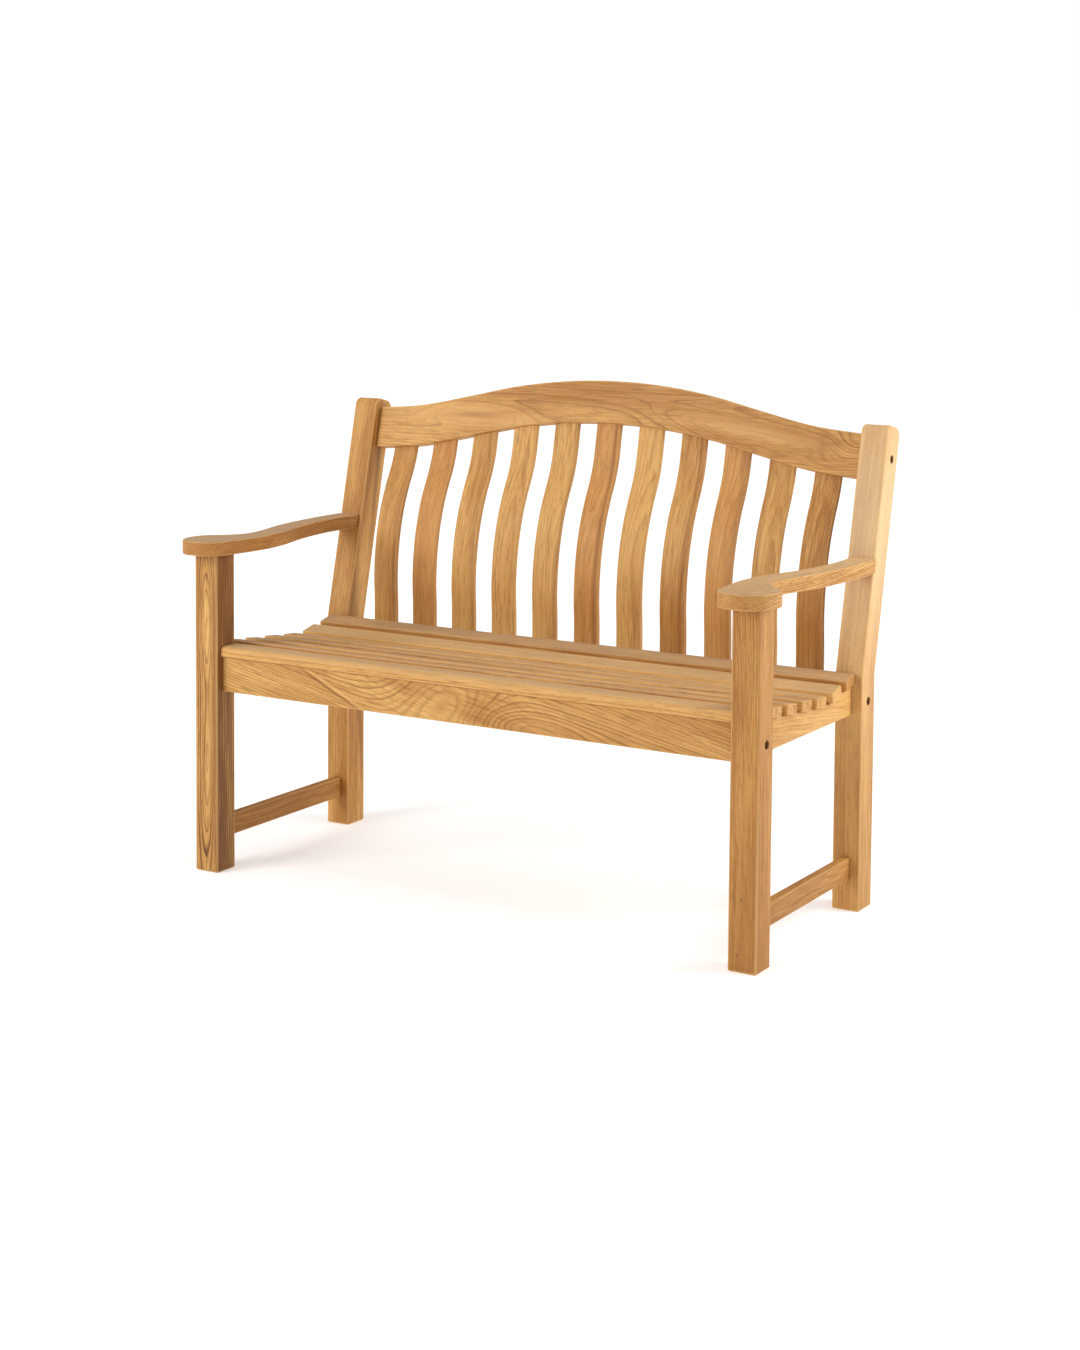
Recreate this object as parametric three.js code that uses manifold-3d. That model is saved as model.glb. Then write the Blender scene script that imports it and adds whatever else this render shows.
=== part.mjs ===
// Two-seat slatted garden bench, in millimetres, +Z up.
// X runs along the bench, Y from the sitter's front to the back, and the floor is z = 0.
// Pieces are laid out from the front faces of the front legs (y = 0) and from the middle of the
// bench (x = 0); the last lines move the whole bench so that its box is centred on the origin.
import * as THREE from "three";
import { mergeVertices } from "three/addons/utils/BufferGeometryUtils.js";
import Module from "manifold-3d";

const wasm = await Module();
wasm.setup();

// ---- driving dimensions ----
const frameWidth = 1200; // over the outer faces of legs and posts
const stock = 27; // thickness of the rails and armrests
const cornerRound = 4; // rounding along the edges of legs, posts and armrests
const rim = 2.5; // easing around the two faces of a leg, post or armrest
const railRound = 2.5;
const railRim = 1.5;
const gap = 0.3; // clearance between pieces that touch

const legWidth = 54;
const legDepth = 56;
const armTop = 650;
const armBottom = armTop - stock;

const postWidth = 54;
const postDepth = 59;
const postFront = 437.6; // front face of the post, below the seat
const kneeHeight = 442; // where the post starts to lean back
const rake = THREE.MathUtils.degToRad(13);
const postTop = 892;
const postTopRound = 17;
const postTopExtra = 2; // added to the lean, and lost again in the rounded top corner
const kneeRound = 12;

const railBottom = 354.6;
const railHeight = 68;
const railTop = railBottom + railHeight;
const frontRailFront = 17;
const rearRailThick = 32;
const rearRailMiddle = 467;

const sideRailOuter = 579.5; // outer face of a side rail, from the middle of the bench
const sideRailBottom = 365;

const stretcherThick = 18;
const stretcherBottom = 59;
const stretcherHeight = 41.4;
const stretcherMiddle = 572.5;

const slatThick = 20.4;
const slatHalfLength = 587.5;
const slatWidth = 41;
// middle of each slat's top face behind the front one: distance back, height and slope
const seatCurve = [
  { y: 98.3, z: 441, slope: -0.125 },
  { y: 160.8, z: 435.2, slope: -0.125 },
  { y: 223.4, z: 430.3, slope: -0.105 },
  { y: 286.4, z: 424.9, slope: -0.08 },
  { y: 350.6, z: 428, slope: 0.245 },
  { y: 412.2, z: 439.8, slope: 0.24 },
];
const frontSlatFront = 10;
const frontSlatWidth = 48;
const frontSlatNose = 9;
const frontSlatLowRound = 2;
const slatRound = 3;

const backSlatCount = 11;
const backSlatWidth = 54;
const backSlatThick = 12.4;
const backSlatTenon = 12;

const crestSetBack = 18; // from the post's front face, square to the lean
const tenonLength = 14;
const root = 3; // how far a tenon starts inside its own piece
const boltHeadDiameter = 13.4;
const boltHeadThick = 3.5;
const boltSocket = 5.8;
const boltSocketDepth = 2;
const boltShaft = 8;
const boltLength = 82;
const counterbore = 15;
const counterboreDepth = 10;
const barrelDiameter = 12;
const barrelLength = 18;
const barrelFromLeg = 30;
const roundSides = 16; // flats around the larger round holes and heads
const overshoot = 1; // how far a cutting shape runs past the face it opens

const innerFace = frameWidth / 2 - legWidth; // inner faces of legs and posts
const legMiddle = frameWidth / 2 - legWidth / 2;
const crestMiddle = crestSetBack + stock / 2;
const railMiddle = frontRailFront + stock / 2;
const sideRailMiddle = sideRailOuter - stock / 2;
const boltHeight = railBottom + railHeight / 2;
const crestBoltRise = 402; // from the knee, along the lean

// ---- directions in which a flat outline is given its thickness ----
const axisX = new THREE.Vector3(1, 0, 0);
const axisY = new THREE.Vector3(0, 1, 0);
const axisZ = new THREE.Vector3(0, 0, 1);
const sideProfile = new THREE.Matrix4().makeBasis(axisY, axisZ, axisX); // drawn in Y and Z
const planOutline = new THREE.Matrix4(); // drawn in X and Y
const frontOutline = new THREE.Matrix4().makeBasis(axisX, axisZ, axisY.clone().negate()); // X and Z

// ---- solids ----
function toSolid(geometry) {
  const bare = geometry.clone();
  bare.deleteAttribute("normal");
  bare.deleteAttribute("uv");
  const welded = mergeVertices(bare, 1e-4);
  const mesh = new wasm.Mesh({
    numProp: 3,
    vertProperties: new Float32Array(welded.attributes.position.array),
    triVerts: new Uint32Array(welded.index.array),
  });
  return new wasm.Manifold(mesh);
}

function toGeometry(solid) {
  const mesh = solid.getMesh();
  const geometry = new THREE.BufferGeometry();
  geometry.setAttribute("position", new THREE.BufferAttribute(mesh.vertProperties.slice(), 3));
  geometry.setIndex(new THREE.BufferAttribute(mesh.triVerts.slice(), 1));
  geometry.computeVertexNormals();
  return geometry;
}

// A closed outline with each corner rounded by its own radius: corners are { x, y, r }.
function roundedOutline(corners) {
  const shape = new THREE.Shape();
  corners.forEach((corner, i) => {
    const before = corners[(i + corners.length - 1) % corners.length];
    const after = corners[(i + 1) % corners.length];
    const here = new THREE.Vector2(corner.x, corner.y);
    const toBefore = new THREE.Vector2(before.x - corner.x, before.y - corner.y).setLength(corner.r);
    const toAfter = new THREE.Vector2(after.x - corner.x, after.y - corner.y).setLength(corner.r);
    const start = here.clone().add(toBefore);
    const end = here.clone().add(toAfter);
    if (i === 0) {
      shape.moveTo(start.x, start.y);
    } else {
      shape.lineTo(start.x, start.y);
    }
    shape.quadraticCurveTo(here.x, here.y, end.x, end.y);
  });
  shape.closePath();
  return shape;
}

function rectangle(x0, x1, y0, y1, r) {
  return roundedOutline([
    { x: x0, y: y0, r },
    { x: x1, y: y0, r },
    { x: x1, y: y1, r },
    { x: x0, y: y1, r },
  ]);
}

// An outline given a thickness, centred on its own plane, with the rim eased on both faces.
function plate(shape, thickness, easing, basis, cornerSteps = 2) {
  const geometry = new THREE.ExtrudeGeometry(shape, {
    depth: thickness - 2 * easing,
    bevelThickness: easing,
    bevelSize: easing,
    bevelOffset: -easing,
    bevelSegments: 1,
    curveSegments: cornerSteps,
  });
  geometry.translate(0, 0, easing - thickness / 2);
  geometry.applyMatrix4(basis);
  return toSolid(geometry);
}

function box(x0, x1, y0, y1, z0, z1) {
  const geometry = new THREE.BoxGeometry(x1 - x0, y1 - y0, z1 - z0);
  geometry.translate((x0 + x1) / 2, (y0 + y1) / 2, (z0 + z1) / 2);
  return toSolid(geometry);
}

// A box about a middle point, made larger by grow on every side when it cuts a mortise.
function boxAbout(x, y, z, sx, sy, sz, grow = 0) {
  const hx = sx / 2 + grow;
  const hy = sy / 2 + grow;
  const hz = sz / 2 + grow;
  return box(x - hx, x + hx, y - hy, y + hy, z - hz, z + hz);
}

// A round bar along X, Y or Z about a middle point.
function bar(direction, x, y, z, diameter, length, sides = 12) {
  const geometry = new THREE.CylinderGeometry(diameter / 2, diameter / 2, length, sides);
  if (direction === "x") {
    geometry.rotateZ(Math.PI / 2);
  } else if (direction === "z") {
    geometry.rotateX(Math.PI / 2);
  }
  geometry.translate(x, y, z);
  return toSolid(geometry);
}

// ---- the lean of the back, as a frame of its own ----
// rise runs up the post's front face from the knee, and back runs square into the post.
function leaned(rise, back) {
  return {
    y: postFront + rise * Math.sin(rake) + back * Math.cos(rake),
    z: kneeHeight + rise * Math.cos(rake) - back * Math.sin(rake),
  };
}

// How far up the lean a point at this height is, on the plane that lies back behind the post's face.
function riseAt(height, back) {
  return (height - kneeHeight + back * Math.sin(rake)) / Math.cos(rake);
}

const crestBolt = leaned(crestBoltRise, crestMiddle);

// The hole for a frame bolt through a leg or post, from its outer face.
function boltHole(side, y, z) {
  const through = bar("x", side * legMiddle, y, z, boltShaft + 2 * gap, legWidth + 2 * overshoot);
  const recessMiddle = side * (frameWidth / 2 - counterboreDepth / 2 + overshoot);
  const recessLength = counterboreDepth + 2 * overshoot;
  const recess = bar("x", recessMiddle, y, z, counterbore, recessLength, roundSides);
  return through.add(recess);
}

// ---- end frames ----
const legTenon = 30;
const legTenonHeight = 15;
const railTenonThick = 18;
const railTenonHeight = 46;
const sideTenon = { thick: 12, low: 374, high: 398 };
const stretcherTenon = { thick: 10, height: 28, length: 20 };
const armEndTenon = { width: 26, length: 32, height: 13, setBack: 4 };

// The front and rear rails end in a stub tenon that the bolt passes through.
function railTenon(side, y, grow = 0) {
  const x = side * (innerFace + (tenonLength - root) / 2);
  return boxAbout(x, y, boltHeight, tenonLength + root, railTenonThick, railTenonHeight, grow);
}

function sideRailTenon(side, y, direction, grow = 0) {
  const middleZ = (sideTenon.low + sideTenon.high) / 2;
  const height = sideTenon.high - sideTenon.low;
  const middleY = y + (direction * (tenonLength - root)) / 2;
  const length = tenonLength + root;
  return boxAbout(side * sideRailMiddle, middleY, middleZ, sideTenon.thick, length, height, grow);
}

function stretcherEndTenon(side, y, direction, grow = 0) {
  const middleZ = stretcherBottom + stretcherHeight / 2;
  const { thick, length, height } = stretcherTenon;
  const middleY = y + (direction * (length - root)) / 2;
  return boxAbout(side * stretcherMiddle, middleY, middleZ, thick, length + root, height, grow);
}

function legTopTenon(side, grow = 0) {
  const middleZ = armBottom + (legTenonHeight - root) / 2;
  const height = legTenonHeight + root;
  return boxAbout(side * legMiddle, legDepth / 2, middleZ, legTenon, legTenon, height, grow);
}

function armTenon(side, grow = 0) {
  const post = leaned(riseAt((armTop + armBottom) / 2, 0), 0);
  const { width, length, height, setBack } = armEndTenon;
  return boxAbout(side * legMiddle, post.y + setBack, post.z, width, length, height, grow);
}

function frontLeg(side) {
  const x0 = side * legMiddle - legWidth / 2;
  const outline = rectangle(x0, x0 + legWidth, 0, legDepth, cornerRound);
  const height = armBottom - gap;
  return plate(outline, height, rim, planOutline)
    .translate([0, 0, height / 2])
    .add(legTopTenon(side))
    .subtract(railTenon(side, railMiddle, gap))
    .subtract(sideRailTenon(side, legDepth, -1, gap))
    .subtract(stretcherEndTenon(side, legDepth, -1, gap))
    .subtract(boltHole(side, railMiddle, boltHeight));
}

// Side view of a post, or of its envelope when grow is set.
function postOutline(grow) {
  const backKnee = kneeHeight - postDepth * Math.tan(rake / 2);
  const topFrontRise = (postTop - kneeHeight) / Math.cos(rake) + postTopExtra;
  const topFront = leaned(topFrontRise, -grow);
  const topBack = leaned(topFrontRise, postDepth + grow);
  return roundedOutline([
    { x: postFront - grow, y: 0, r: cornerRound },
    { x: postFront + postDepth + grow, y: 0, r: cornerRound },
    { x: postFront + postDepth + grow, y: backKnee, r: kneeRound },
    { x: topBack.y, y: topBack.z, r: postTopRound },
    { x: topFront.y, y: topFront.z, r: postTopRound },
    { x: postFront - grow, y: kneeHeight, r: kneeRound },
  ]);
}

// The room a post takes, wider than the post so that it clears all of an armrest's end.
function postEnvelope(side) {
  const width = postWidth + 40;
  return plate(postOutline(gap), width, 1, sideProfile).translate([side * legMiddle, 0, 0]);
}

function backPost(side) {
  return plate(postOutline(0), postWidth, rim, sideProfile)
    .translate([side * legMiddle, 0, 0])
    .subtract(railTenon(side, rearRailMiddle, gap))
    .subtract(sideRailTenon(side, postFront, 1, gap))
    .subtract(stretcherEndTenon(side, postFront, 1, gap))
    .subtract(armTenon(side, gap))
    .subtract(crestTenon(side, gap))
    .subtract(boltHole(side, rearRailMiddle, boltHeight))
    .subtract(boltHole(side, crestBolt.y, crestBolt.z));
}

const slatSeatSpare = 4; // how far the cut for a slat runs past its edges
const slatSeatRound = 6;

// Underside of a seat slat: the points below its front and back edges.
function slatSeat({ y, z, slope }) {
  const angle = Math.atan(slope);
  const drop = slatThick + gap;
  const middleY = y + drop * Math.sin(angle);
  const middleZ = z - drop * Math.cos(angle);
  const reach = slatWidth / 2 + slatSeatSpare;
  return [-reach, reach].map((step) => ({
    x: middleY + step * Math.cos(angle),
    y: middleZ + step * Math.sin(angle),
    r: slatSeatRound,
  }));
}

// Side view of a board under the seat: level below, and dished above to carry the slats.
function bearerOutline(front, back) {
  const tops = seatCurve.flatMap(slatSeat).reverse();
  const last = seatCurve[seatCurve.length - 1];
  const backTop = tops[1].y + (back - tops[1].x) * last.slope;
  return roundedOutline([
    { x: front, y: sideRailBottom, r: railRound },
    { x: back, y: sideRailBottom, r: railRound },
    { x: back, y: backTop, r: railRound },
    ...tops.slice(1),
    { x: front, y: railTop - 1, r: railRound },
  ]);
}

function sideRail(side) {
  const front = legDepth + gap;
  const back = postFront - gap;
  let rail = plate(bearerOutline(front, back), stock, railRim, sideProfile, 1)
    .translate([side * sideRailMiddle, 0, 0])
    .add(sideRailTenon(side, legDepth, -1))
    .add(sideRailTenon(side, postFront, 1));
  for (const slat of seatCurve) {
    rail = rail.subtract(screwHole(side * sideRailMiddle, slat.y, screwBase(slat), sideRailBottom));
  }
  return rail;
}

const stretcherRound = 2;
const stretcherRim = 0.5;

function stretcher(side) {
  const x0 = side * stretcherMiddle - stretcherThick / 2;
  const top = stretcherBottom + stretcherHeight;
  const outline = rectangle(x0, x0 + stretcherThick, stretcherBottom, top, stretcherRound);
  const length = postFront - legDepth - 2 * gap;
  return plate(outline, length, stretcherRim, frontOutline)
    .translate([0, (postFront + legDepth) / 2, 0])
    .add(stretcherEndTenon(side, legDepth, -1))
    .add(stretcherEndTenon(side, postFront, 1));
}

// The armrest's plan: a rounded paddle, a narrow neck, and a sweep out and back to the post.
function armOutline(side) {
  const inner = [
    [551, 500],
    [558, 440],
    [557, 360],
    [541, 262],
    [521, 190],
    [510.5, 120],
    [513, 60],
    [519, 15],
  ];
  const paddle = [
    [533, -20],
    [553, -38],
    [575, -42],
    [597, -36],
    [613, -20],
    [621, 8],
  ];
  const neck = [
    [614, 56],
    [590, 74],
    [570, 102],
    [565, 135],
    [572, 180],
    [590, 250],
    [600, 330],
    [605, 420],
    [603, 500],
  ];
  const points = (list) => list.map(([x, y]) => new THREE.Vector2(side * x, y));
  const shape = new THREE.Shape();
  shape.moveTo(side * inner[0][0], inner[0][1]);
  shape.splineThru(points([...inner.slice(1), ...paddle, [624, 38]]));
  shape.quadraticCurveTo(side * 623.5, 50, side * neck[0][0], neck[0][1]);
  shape.splineThru(points(neck.slice(1)));
  shape.closePath();
  return shape;
}

function armrest(side) {
  const behindPost = box(-frameWidth, frameWidth, 495, 625, armTop - 50, armTop + 50);
  return plate(armOutline(side), stock, rim, planOutline, 1)
    .translate([0, 0, (armTop + armBottom) / 2])
    .subtract(postEnvelope(side))
    .subtract(behindPost)
    .add(armTenon(side))
    .subtract(legTopTenon(side, gap));
}

// ---- long rails ----
// Hole along the rail for the bolt, and the cross hole for its barrel nut from behind.
function nutHoles(side, y, z, rearFace) {
  const nutX = side * (innerFace - barrelFromLeg);
  const boltMiddle = nutX + side * 8;
  const boltRun = bar("x", boltMiddle, y, z, boltShaft + 2 * gap, boltLength + 8);
  const depth = rearFace - y + barrelDiameter + overshoot;
  const nutMiddle = rearFace + overshoot - depth / 2;
  return boltRun.add(bar("y", nutX, nutMiddle, z, barrelDiameter + 2 * gap, depth));
}

function frontRail() {
  const outline = rectangle(-innerFace + gap, innerFace - gap, railBottom, railTop, railRound);
  let rail = plate(outline, stock, railRim, frontOutline).translate([0, railMiddle, 0]);
  for (const side of [-1, 1]) {
    rail = rail
      .add(railTenon(side, railMiddle))
      .subtract(nutHoles(side, railMiddle, boltHeight, railMiddle + stock / 2))
      .subtract(screwHole(side * frontScrewX, railMiddle, frontScrewBase, railBottom));
  }
  return rail.subtract(bearerTenon(railMiddle + stock / 2, -1, gap));
}

function rearRail() {
  const outline = rectangle(-innerFace + gap, innerFace - gap, railBottom, railTop, railRound);
  let rail = plate(outline, rearRailThick, railRim, frontOutline).translate([0, rearRailMiddle, 0]);
  for (const side of [-1, 1]) {
    rail = rail
      .add(railTenon(side, rearRailMiddle))
      .subtract(nutHoles(side, rearRailMiddle, boltHeight, rearRailMiddle + rearRailThick / 2));
  }
  for (let i = 0; i < backSlatCount; i += 1) {
    rail = rail.subtract(slatFootTenon(backSlatX(i), gap));
  }
  return rail.subtract(bearerTenon(rearRailMiddle - rearRailThick / 2, 1, gap));
}

function bearerTenon(y, direction, grow = 0) {
  const middleZ = (sideTenon.low + sideTenon.high) / 2;
  const height = sideTenon.high - sideTenon.low;
  const middleY = y + (direction * (tenonLength - root)) / 2;
  return boxAbout(0, middleY, middleZ, sideTenon.thick, tenonLength + root, height, grow);
}

function centreBearer() {
  const front = railMiddle + stock / 2;
  const back = rearRailMiddle - rearRailThick / 2;
  return plate(bearerOutline(front + gap, back - gap), stock, railRim, sideProfile, 1)
    .add(bearerTenon(front, -1))
    .add(bearerTenon(back, 1));
}

// The crest's arch: heights of its front top edge, from the middle of the bench out to a post.
const crestArch = [
  [0, 948.2],
  [110, 943.4],
  [220, 928.6],
  [330, 904.5],
  [440, 882],
  [innerFace, 872],
];
const crestDepth = 83; // between top and bottom edge, straight down

function crestLine(drop) {
  const half = crestArch.map(([x, z]) => new THREE.Vector2(x, riseAt(z - drop, crestSetBack)));
  half[half.length - 1].x = innerFace - gap;
  const mirrored = half.slice(1).map((p) => new THREE.Vector2(-p.x, p.y)).reverse();
  return new THREE.SplineCurve([...mirrored, ...half]);
}

function crestOutline() {
  const steps = 24;
  const top = crestLine(0).getPoints(steps);
  const bottom = crestLine(crestDepth).getPoints(steps).reverse();
  return new THREE.Shape([...top, ...bottom]);
}

const crestEndTenon = { thick: 17, height: 48 };

// Pieces of the back are built standing up at the knee and then leaned back.
function leanBack(solid) {
  const turned = solid.rotate([THREE.MathUtils.radToDeg(-rake), 0, 0]);
  return turned.translate([0, postFront, kneeHeight]);
}

function crestTenon(side, grow = 0) {
  const x = side * (innerFace + (tenonLength - root) / 2);
  const { thick, height } = crestEndTenon;
  return leanBack(boxAbout(x, crestMiddle, crestBoltRise, tenonLength + root, thick, height, grow));
}

function crestRail() {
  let rail = leanBack(plate(crestOutline(), stock, rim, frontOutline).translate([0, crestMiddle, 0]));
  for (const side of [-1, 1]) {
    const holes = nutHoles(side, crestMiddle, crestBoltRise, crestMiddle + stock / 2);
    rail = rail.add(crestTenon(side)).subtract(leanBack(holes));
  }
  for (let i = 0; i < backSlatCount; i += 1) {
    rail = rail.subtract(slatHeadTenon(backSlatX(i), gap));
  }
  return rail;
}

const slatRim = 2;

// ---- back slats ----
// Front face of a slat in side view: heights and distances back.
const slatSweep = [
  [railTop + gap, 472],
  [475, 471.6],
  [525, 469.4],
  [575, 472.2],
  [625, 480.4],
  [675, 494.9],
  [715, 512.3],
  [745, 528.3],
  [775, 541],
  [805, 549],
  [840, 555.8],
  [875, 562.6],
];

// Slats and the spaces between them share the width between the posts evenly.
function backSlatX(index) {
  const space = (2 * innerFace - backSlatCount * backSlatWidth) / (backSlatCount + 1);
  const pitch = backSlatWidth + space;
  return (index - (backSlatCount - 1) / 2) * pitch;
}

function sweepCurve(back) {
  return new THREE.SplineCurve(slatSweep.map(([z, y]) => new THREE.Vector2(y + back, z)));
}

// Height of the crest's underside at a place along the bench, on its front face.
function crestUnderside(x) {
  const finely = 160;
  const points = crestLine(crestDepth).getPoints(finely);
  const after = points.findIndex((p) => p.x >= x);
  const a = points[after - 1];
  const b = points[after];
  const rise = a.y + ((b.y - a.y) * (x - a.x)) / (b.x - a.x);
  return leaned(rise, crestSetBack).z;
}

// All of the bench's space above the crest's underside, near one slat: it trims the slat's head.
function aboveCrest(x) {
  const half = backSlatWidth / 2 + 4;
  const tall = 300;
  const deep = 200;
  const left = riseAt(crestUnderside(x - half), crestSetBack) - gap;
  const right = riseAt(crestUnderside(x + half), crestSetBack) - gap;
  const middle = riseAt(crestUnderside(x), crestSetBack) - gap;
  const shape = new THREE.Shape([
    new THREE.Vector2(x - half, left),
    new THREE.Vector2(x, middle),
    new THREE.Vector2(x + half, right),
    new THREE.Vector2(x + half, left + tall),
    new THREE.Vector2(x - half, left + tall),
  ]);
  const geometry = new THREE.ExtrudeGeometry(shape, { depth: deep, bevelEnabled: false });
  geometry.applyMatrix4(frontOutline);
  geometry.translate(0, 0.65 * deep, 0);
  return leanBack(toSolid(geometry));
}

const slatTenonWidth = backSlatWidth - 14;
const slatTenonThick = 7;
const slatFootRoot = 4;
const slatHead = { height: 28, rise: 6, forward: 2 };

function slatFootTenon(x, grow = 0) {
  const y = slatSweep[0][1] + backSlatThick / 2 - 1;
  const z = railTop + (slatFootRoot - backSlatTenon) / 2;
  const height = backSlatTenon + slatFootRoot;
  return boxAbout(x, y, z, slatTenonWidth, slatTenonThick, height, grow);
}

function slatHeadTenon(x, grow = 0) {
  const half = slatTenonWidth / 2;
  const low = Math.min(crestUnderside(x - half), crestUnderside(x + half));
  const rise = riseAt(low, crestSetBack) + slatHead.rise;
  const back = crestMiddle - slatHead.forward;
  return leanBack(boxAbout(x, back, rise, slatTenonWidth, slatTenonThick, slatHead.height, grow));
}

function backSlat(index) {
  const x = backSlatX(index);
  const steps = 14;
  const front = sweepCurve(0).getPoints(steps);
  const rear = sweepCurve(backSlatThick).getPoints(steps).reverse();
  const blank = plate(new THREE.Shape([...front, ...rear]), backSlatWidth, slatRim, sideProfile);
  return blank
    .translate([x, 0, 0])
    .subtract(aboveCrest(x))
    .add(slatFootTenon(x))
    .add(slatHeadTenon(x));
}

// ---- seat slats ----
const screwShank = 4;
const screwShankSides = 6;
const screwHead = 8;
const screwHeadThick = 3;
const screwHeadSides = 8;
const screwGrip = 12; // length in the slat
const screwLength = 32;
const frontScrewX = 300;
const frontScrewBase = railTop - (screwLength - screwGrip);

// Height of a screw's head: it ends a little way inside the slat.
function screwBase({ z }) {
  return z - slatThick - (screwLength - screwGrip);
}

// A clearance hole down to the board's underside, wide up to the screw's head.
function screwHole(x, y, base, bottom) {
  const wide = screwShank + 2 * gap;
  const long = screwLength + 2 * gap;
  const shank = bar("z", x, y, base + screwLength / 2, wide, long, screwShankSides);
  const wellHeight = base + gap - bottom + overshoot;
  const wellMiddle = bottom - overshoot + wellHeight / 2;
  return shank.add(bar("z", x, y, wellMiddle, screwHead + 1, wellHeight, screwHeadSides));
}

function seatScrew(x, y, base) {
  const shank = bar("z", x, y, base + screwLength / 2, screwShank, screwLength, screwShankSides);
  const head = bar("z", x, y, base - screwHeadThick / 2, screwHead, screwHeadThick, screwHeadSides);
  return shank.add(head);
}

function frontSlat() {
  const back = frontSlatFront + frontSlatWidth;
  const bottom = railTop + gap;
  const outline = roundedOutline([
    { x: frontSlatFront, y: bottom, r: frontSlatLowRound },
    { x: back, y: bottom, r: frontSlatLowRound },
    { x: back, y: bottom + slatThick, r: slatRound },
    { x: frontSlatFront, y: bottom + slatThick, r: frontSlatNose },
  ]);
  let slat = plate(outline, 2 * (innerFace - gap), 1, sideProfile, 4);
  for (const side of [-1, 1]) {
    slat = slat.subtract(screwHole(side * frontScrewX, railMiddle, frontScrewBase, railBottom));
  }
  return slat;
}

function seatSlat(place) {
  const outline = rectangle(-slatWidth / 2, slatWidth / 2, -slatThick, 0, slatRound);
  const angle = THREE.MathUtils.radToDeg(Math.atan(place.slope));
  let slat = plate(outline, 2 * slatHalfLength, slatRim, sideProfile)
    .rotate([angle, 0, 0])
    .translate([0, place.y, place.z]);
  for (const side of [-1, 1]) {
    slat = slat.subtract(screwHole(side * sideRailMiddle, place.y, screwBase(place), sideRailBottom));
  }
  return slat;
}

// ---- bolts and barrel nuts ----
function frameBolt(side, y, z) {
  const headBase = frameWidth / 2 - counterboreDepth + gap;
  const shaft = bar("x", side * (headBase - boltLength / 2), y, z, boltShaft, boltLength);
  const headTop = headBase + boltHeadThick;
  const headMiddle = side * (headBase + boltHeadThick / 2);
  const head = bar("x", headMiddle, y, z, boltHeadDiameter, boltHeadThick, roundSides);
  const socket = bar("x", side * headTop, y, z, boltSocket, 2 * boltSocketDepth, 6);
  return shaft.add(head).subtract(socket);
}

function barrelNut(side, y, z) {
  const x = side * (innerFace - barrelFromLeg);
  const body = bar("y", x, y, z, barrelDiameter, barrelLength);
  return body.subtract(bar("x", x, y, z, boltShaft + 2 * gap, 2 * barrelDiameter));
}

// ---- assembly ----
const bench = new THREE.Group();

function addPiece(name, solid, look) {
  const mesh = new THREE.Mesh(toGeometry(solid), new THREE.MeshStandardMaterial(look));
  mesh.name = name;
  bench.add(mesh);
}

const satin = 0.55; // roughness of the wood
const honey = { color: 0xc98f52, roughness: satin };
const honeyLight = { color: 0xd6a164, roughness: satin };
const honeyDark = { color: 0xb98046, roughness: satin };
const greyedTop = { color: 0xc39f76, roughness: satin };
const steel = { color: 0x6f6a62, roughness: 0.4, metalness: 0.9 };

const sides = [
  { side: -1, name: "left" },
  { side: 1, name: "right" },
];

for (const { side, name } of sides) {
  addPiece(`front_leg_${name}`, frontLeg(side), honey);
  addPiece(`back_post_${name}`, backPost(side), honeyLight);
  addPiece(`side_rail_${name}`, sideRail(side), honeyLight);
  addPiece(`stretcher_${name}`, stretcher(side), honey);
  addPiece(`armrest_${name}`, armrest(side), honeyLight);
}

addPiece("front_rail", frontRail(), honey);
addPiece("rear_rail", rearRail(), honeyDark);
addPiece("crest_rail", crestRail(), honey);
addPiece("centre_bearer", centreBearer(), honeyDark);

for (let i = 0; i < backSlatCount; i += 1) {
  const number = String(i + 1).padStart(2, "0");
  addPiece(`back_slat_${number}`, backSlat(i), i % 2 === 1 ? honey : honeyDark);
}

addPiece("seat_slat_1", frontSlat(), honeyLight);
seatCurve.forEach((place, i) => {
  addPiece(`seat_slat_${i + 2}`, seatSlat(place), greyedTop);
});

const boltPlaces = [
  { name: "front", y: railMiddle, z: boltHeight },
  { name: "rear", y: rearRailMiddle, z: boltHeight },
  { name: "crest", y: crestBolt.y, z: crestBolt.z },
];
for (const { side, name } of sides) {
  for (const place of boltPlaces) {
    addPiece(`bolt_${place.name}_${name}`, frameBolt(side, place.y, place.z), steel);
    const lean = place.name === "crest" ? THREE.MathUtils.radToDeg(-rake) : 0;
    const nut = barrelNut(side, 0, 0).rotate([lean, 0, 0]).translate([0, place.y, place.z]);
    addPiece(`barrel_nut_${place.name}_${name}`, nut, steel);
  }
}

for (const { side, name } of sides) {
  const frontScrew = seatScrew(side * frontScrewX, railMiddle, frontScrewBase);
  addPiece(`seat_screw_1_${name}`, frontScrew, steel);
  seatCurve.forEach((place, i) => {
    const screw = seatScrew(side * sideRailMiddle, place.y, screwBase(place));
    addPiece(`seat_screw_${i + 2}_${name}`, screw, steel);
  });
}

// Stand the bench on z = 0 with its box centred on the origin.
const bounds = new THREE.Box3().setFromObject(bench);
bench.position.y = -(bounds.min.y + bounds.max.y) / 2;

const part = new THREE.Group();
part.add(bench);
part.updateMatrixWorld(true);

export default part;
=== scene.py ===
from math import atan, cos, pi, radians, sin, tan

import bmesh
import bpy
import numpy as np
from mathutils import Euler, Matrix, Vector


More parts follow.
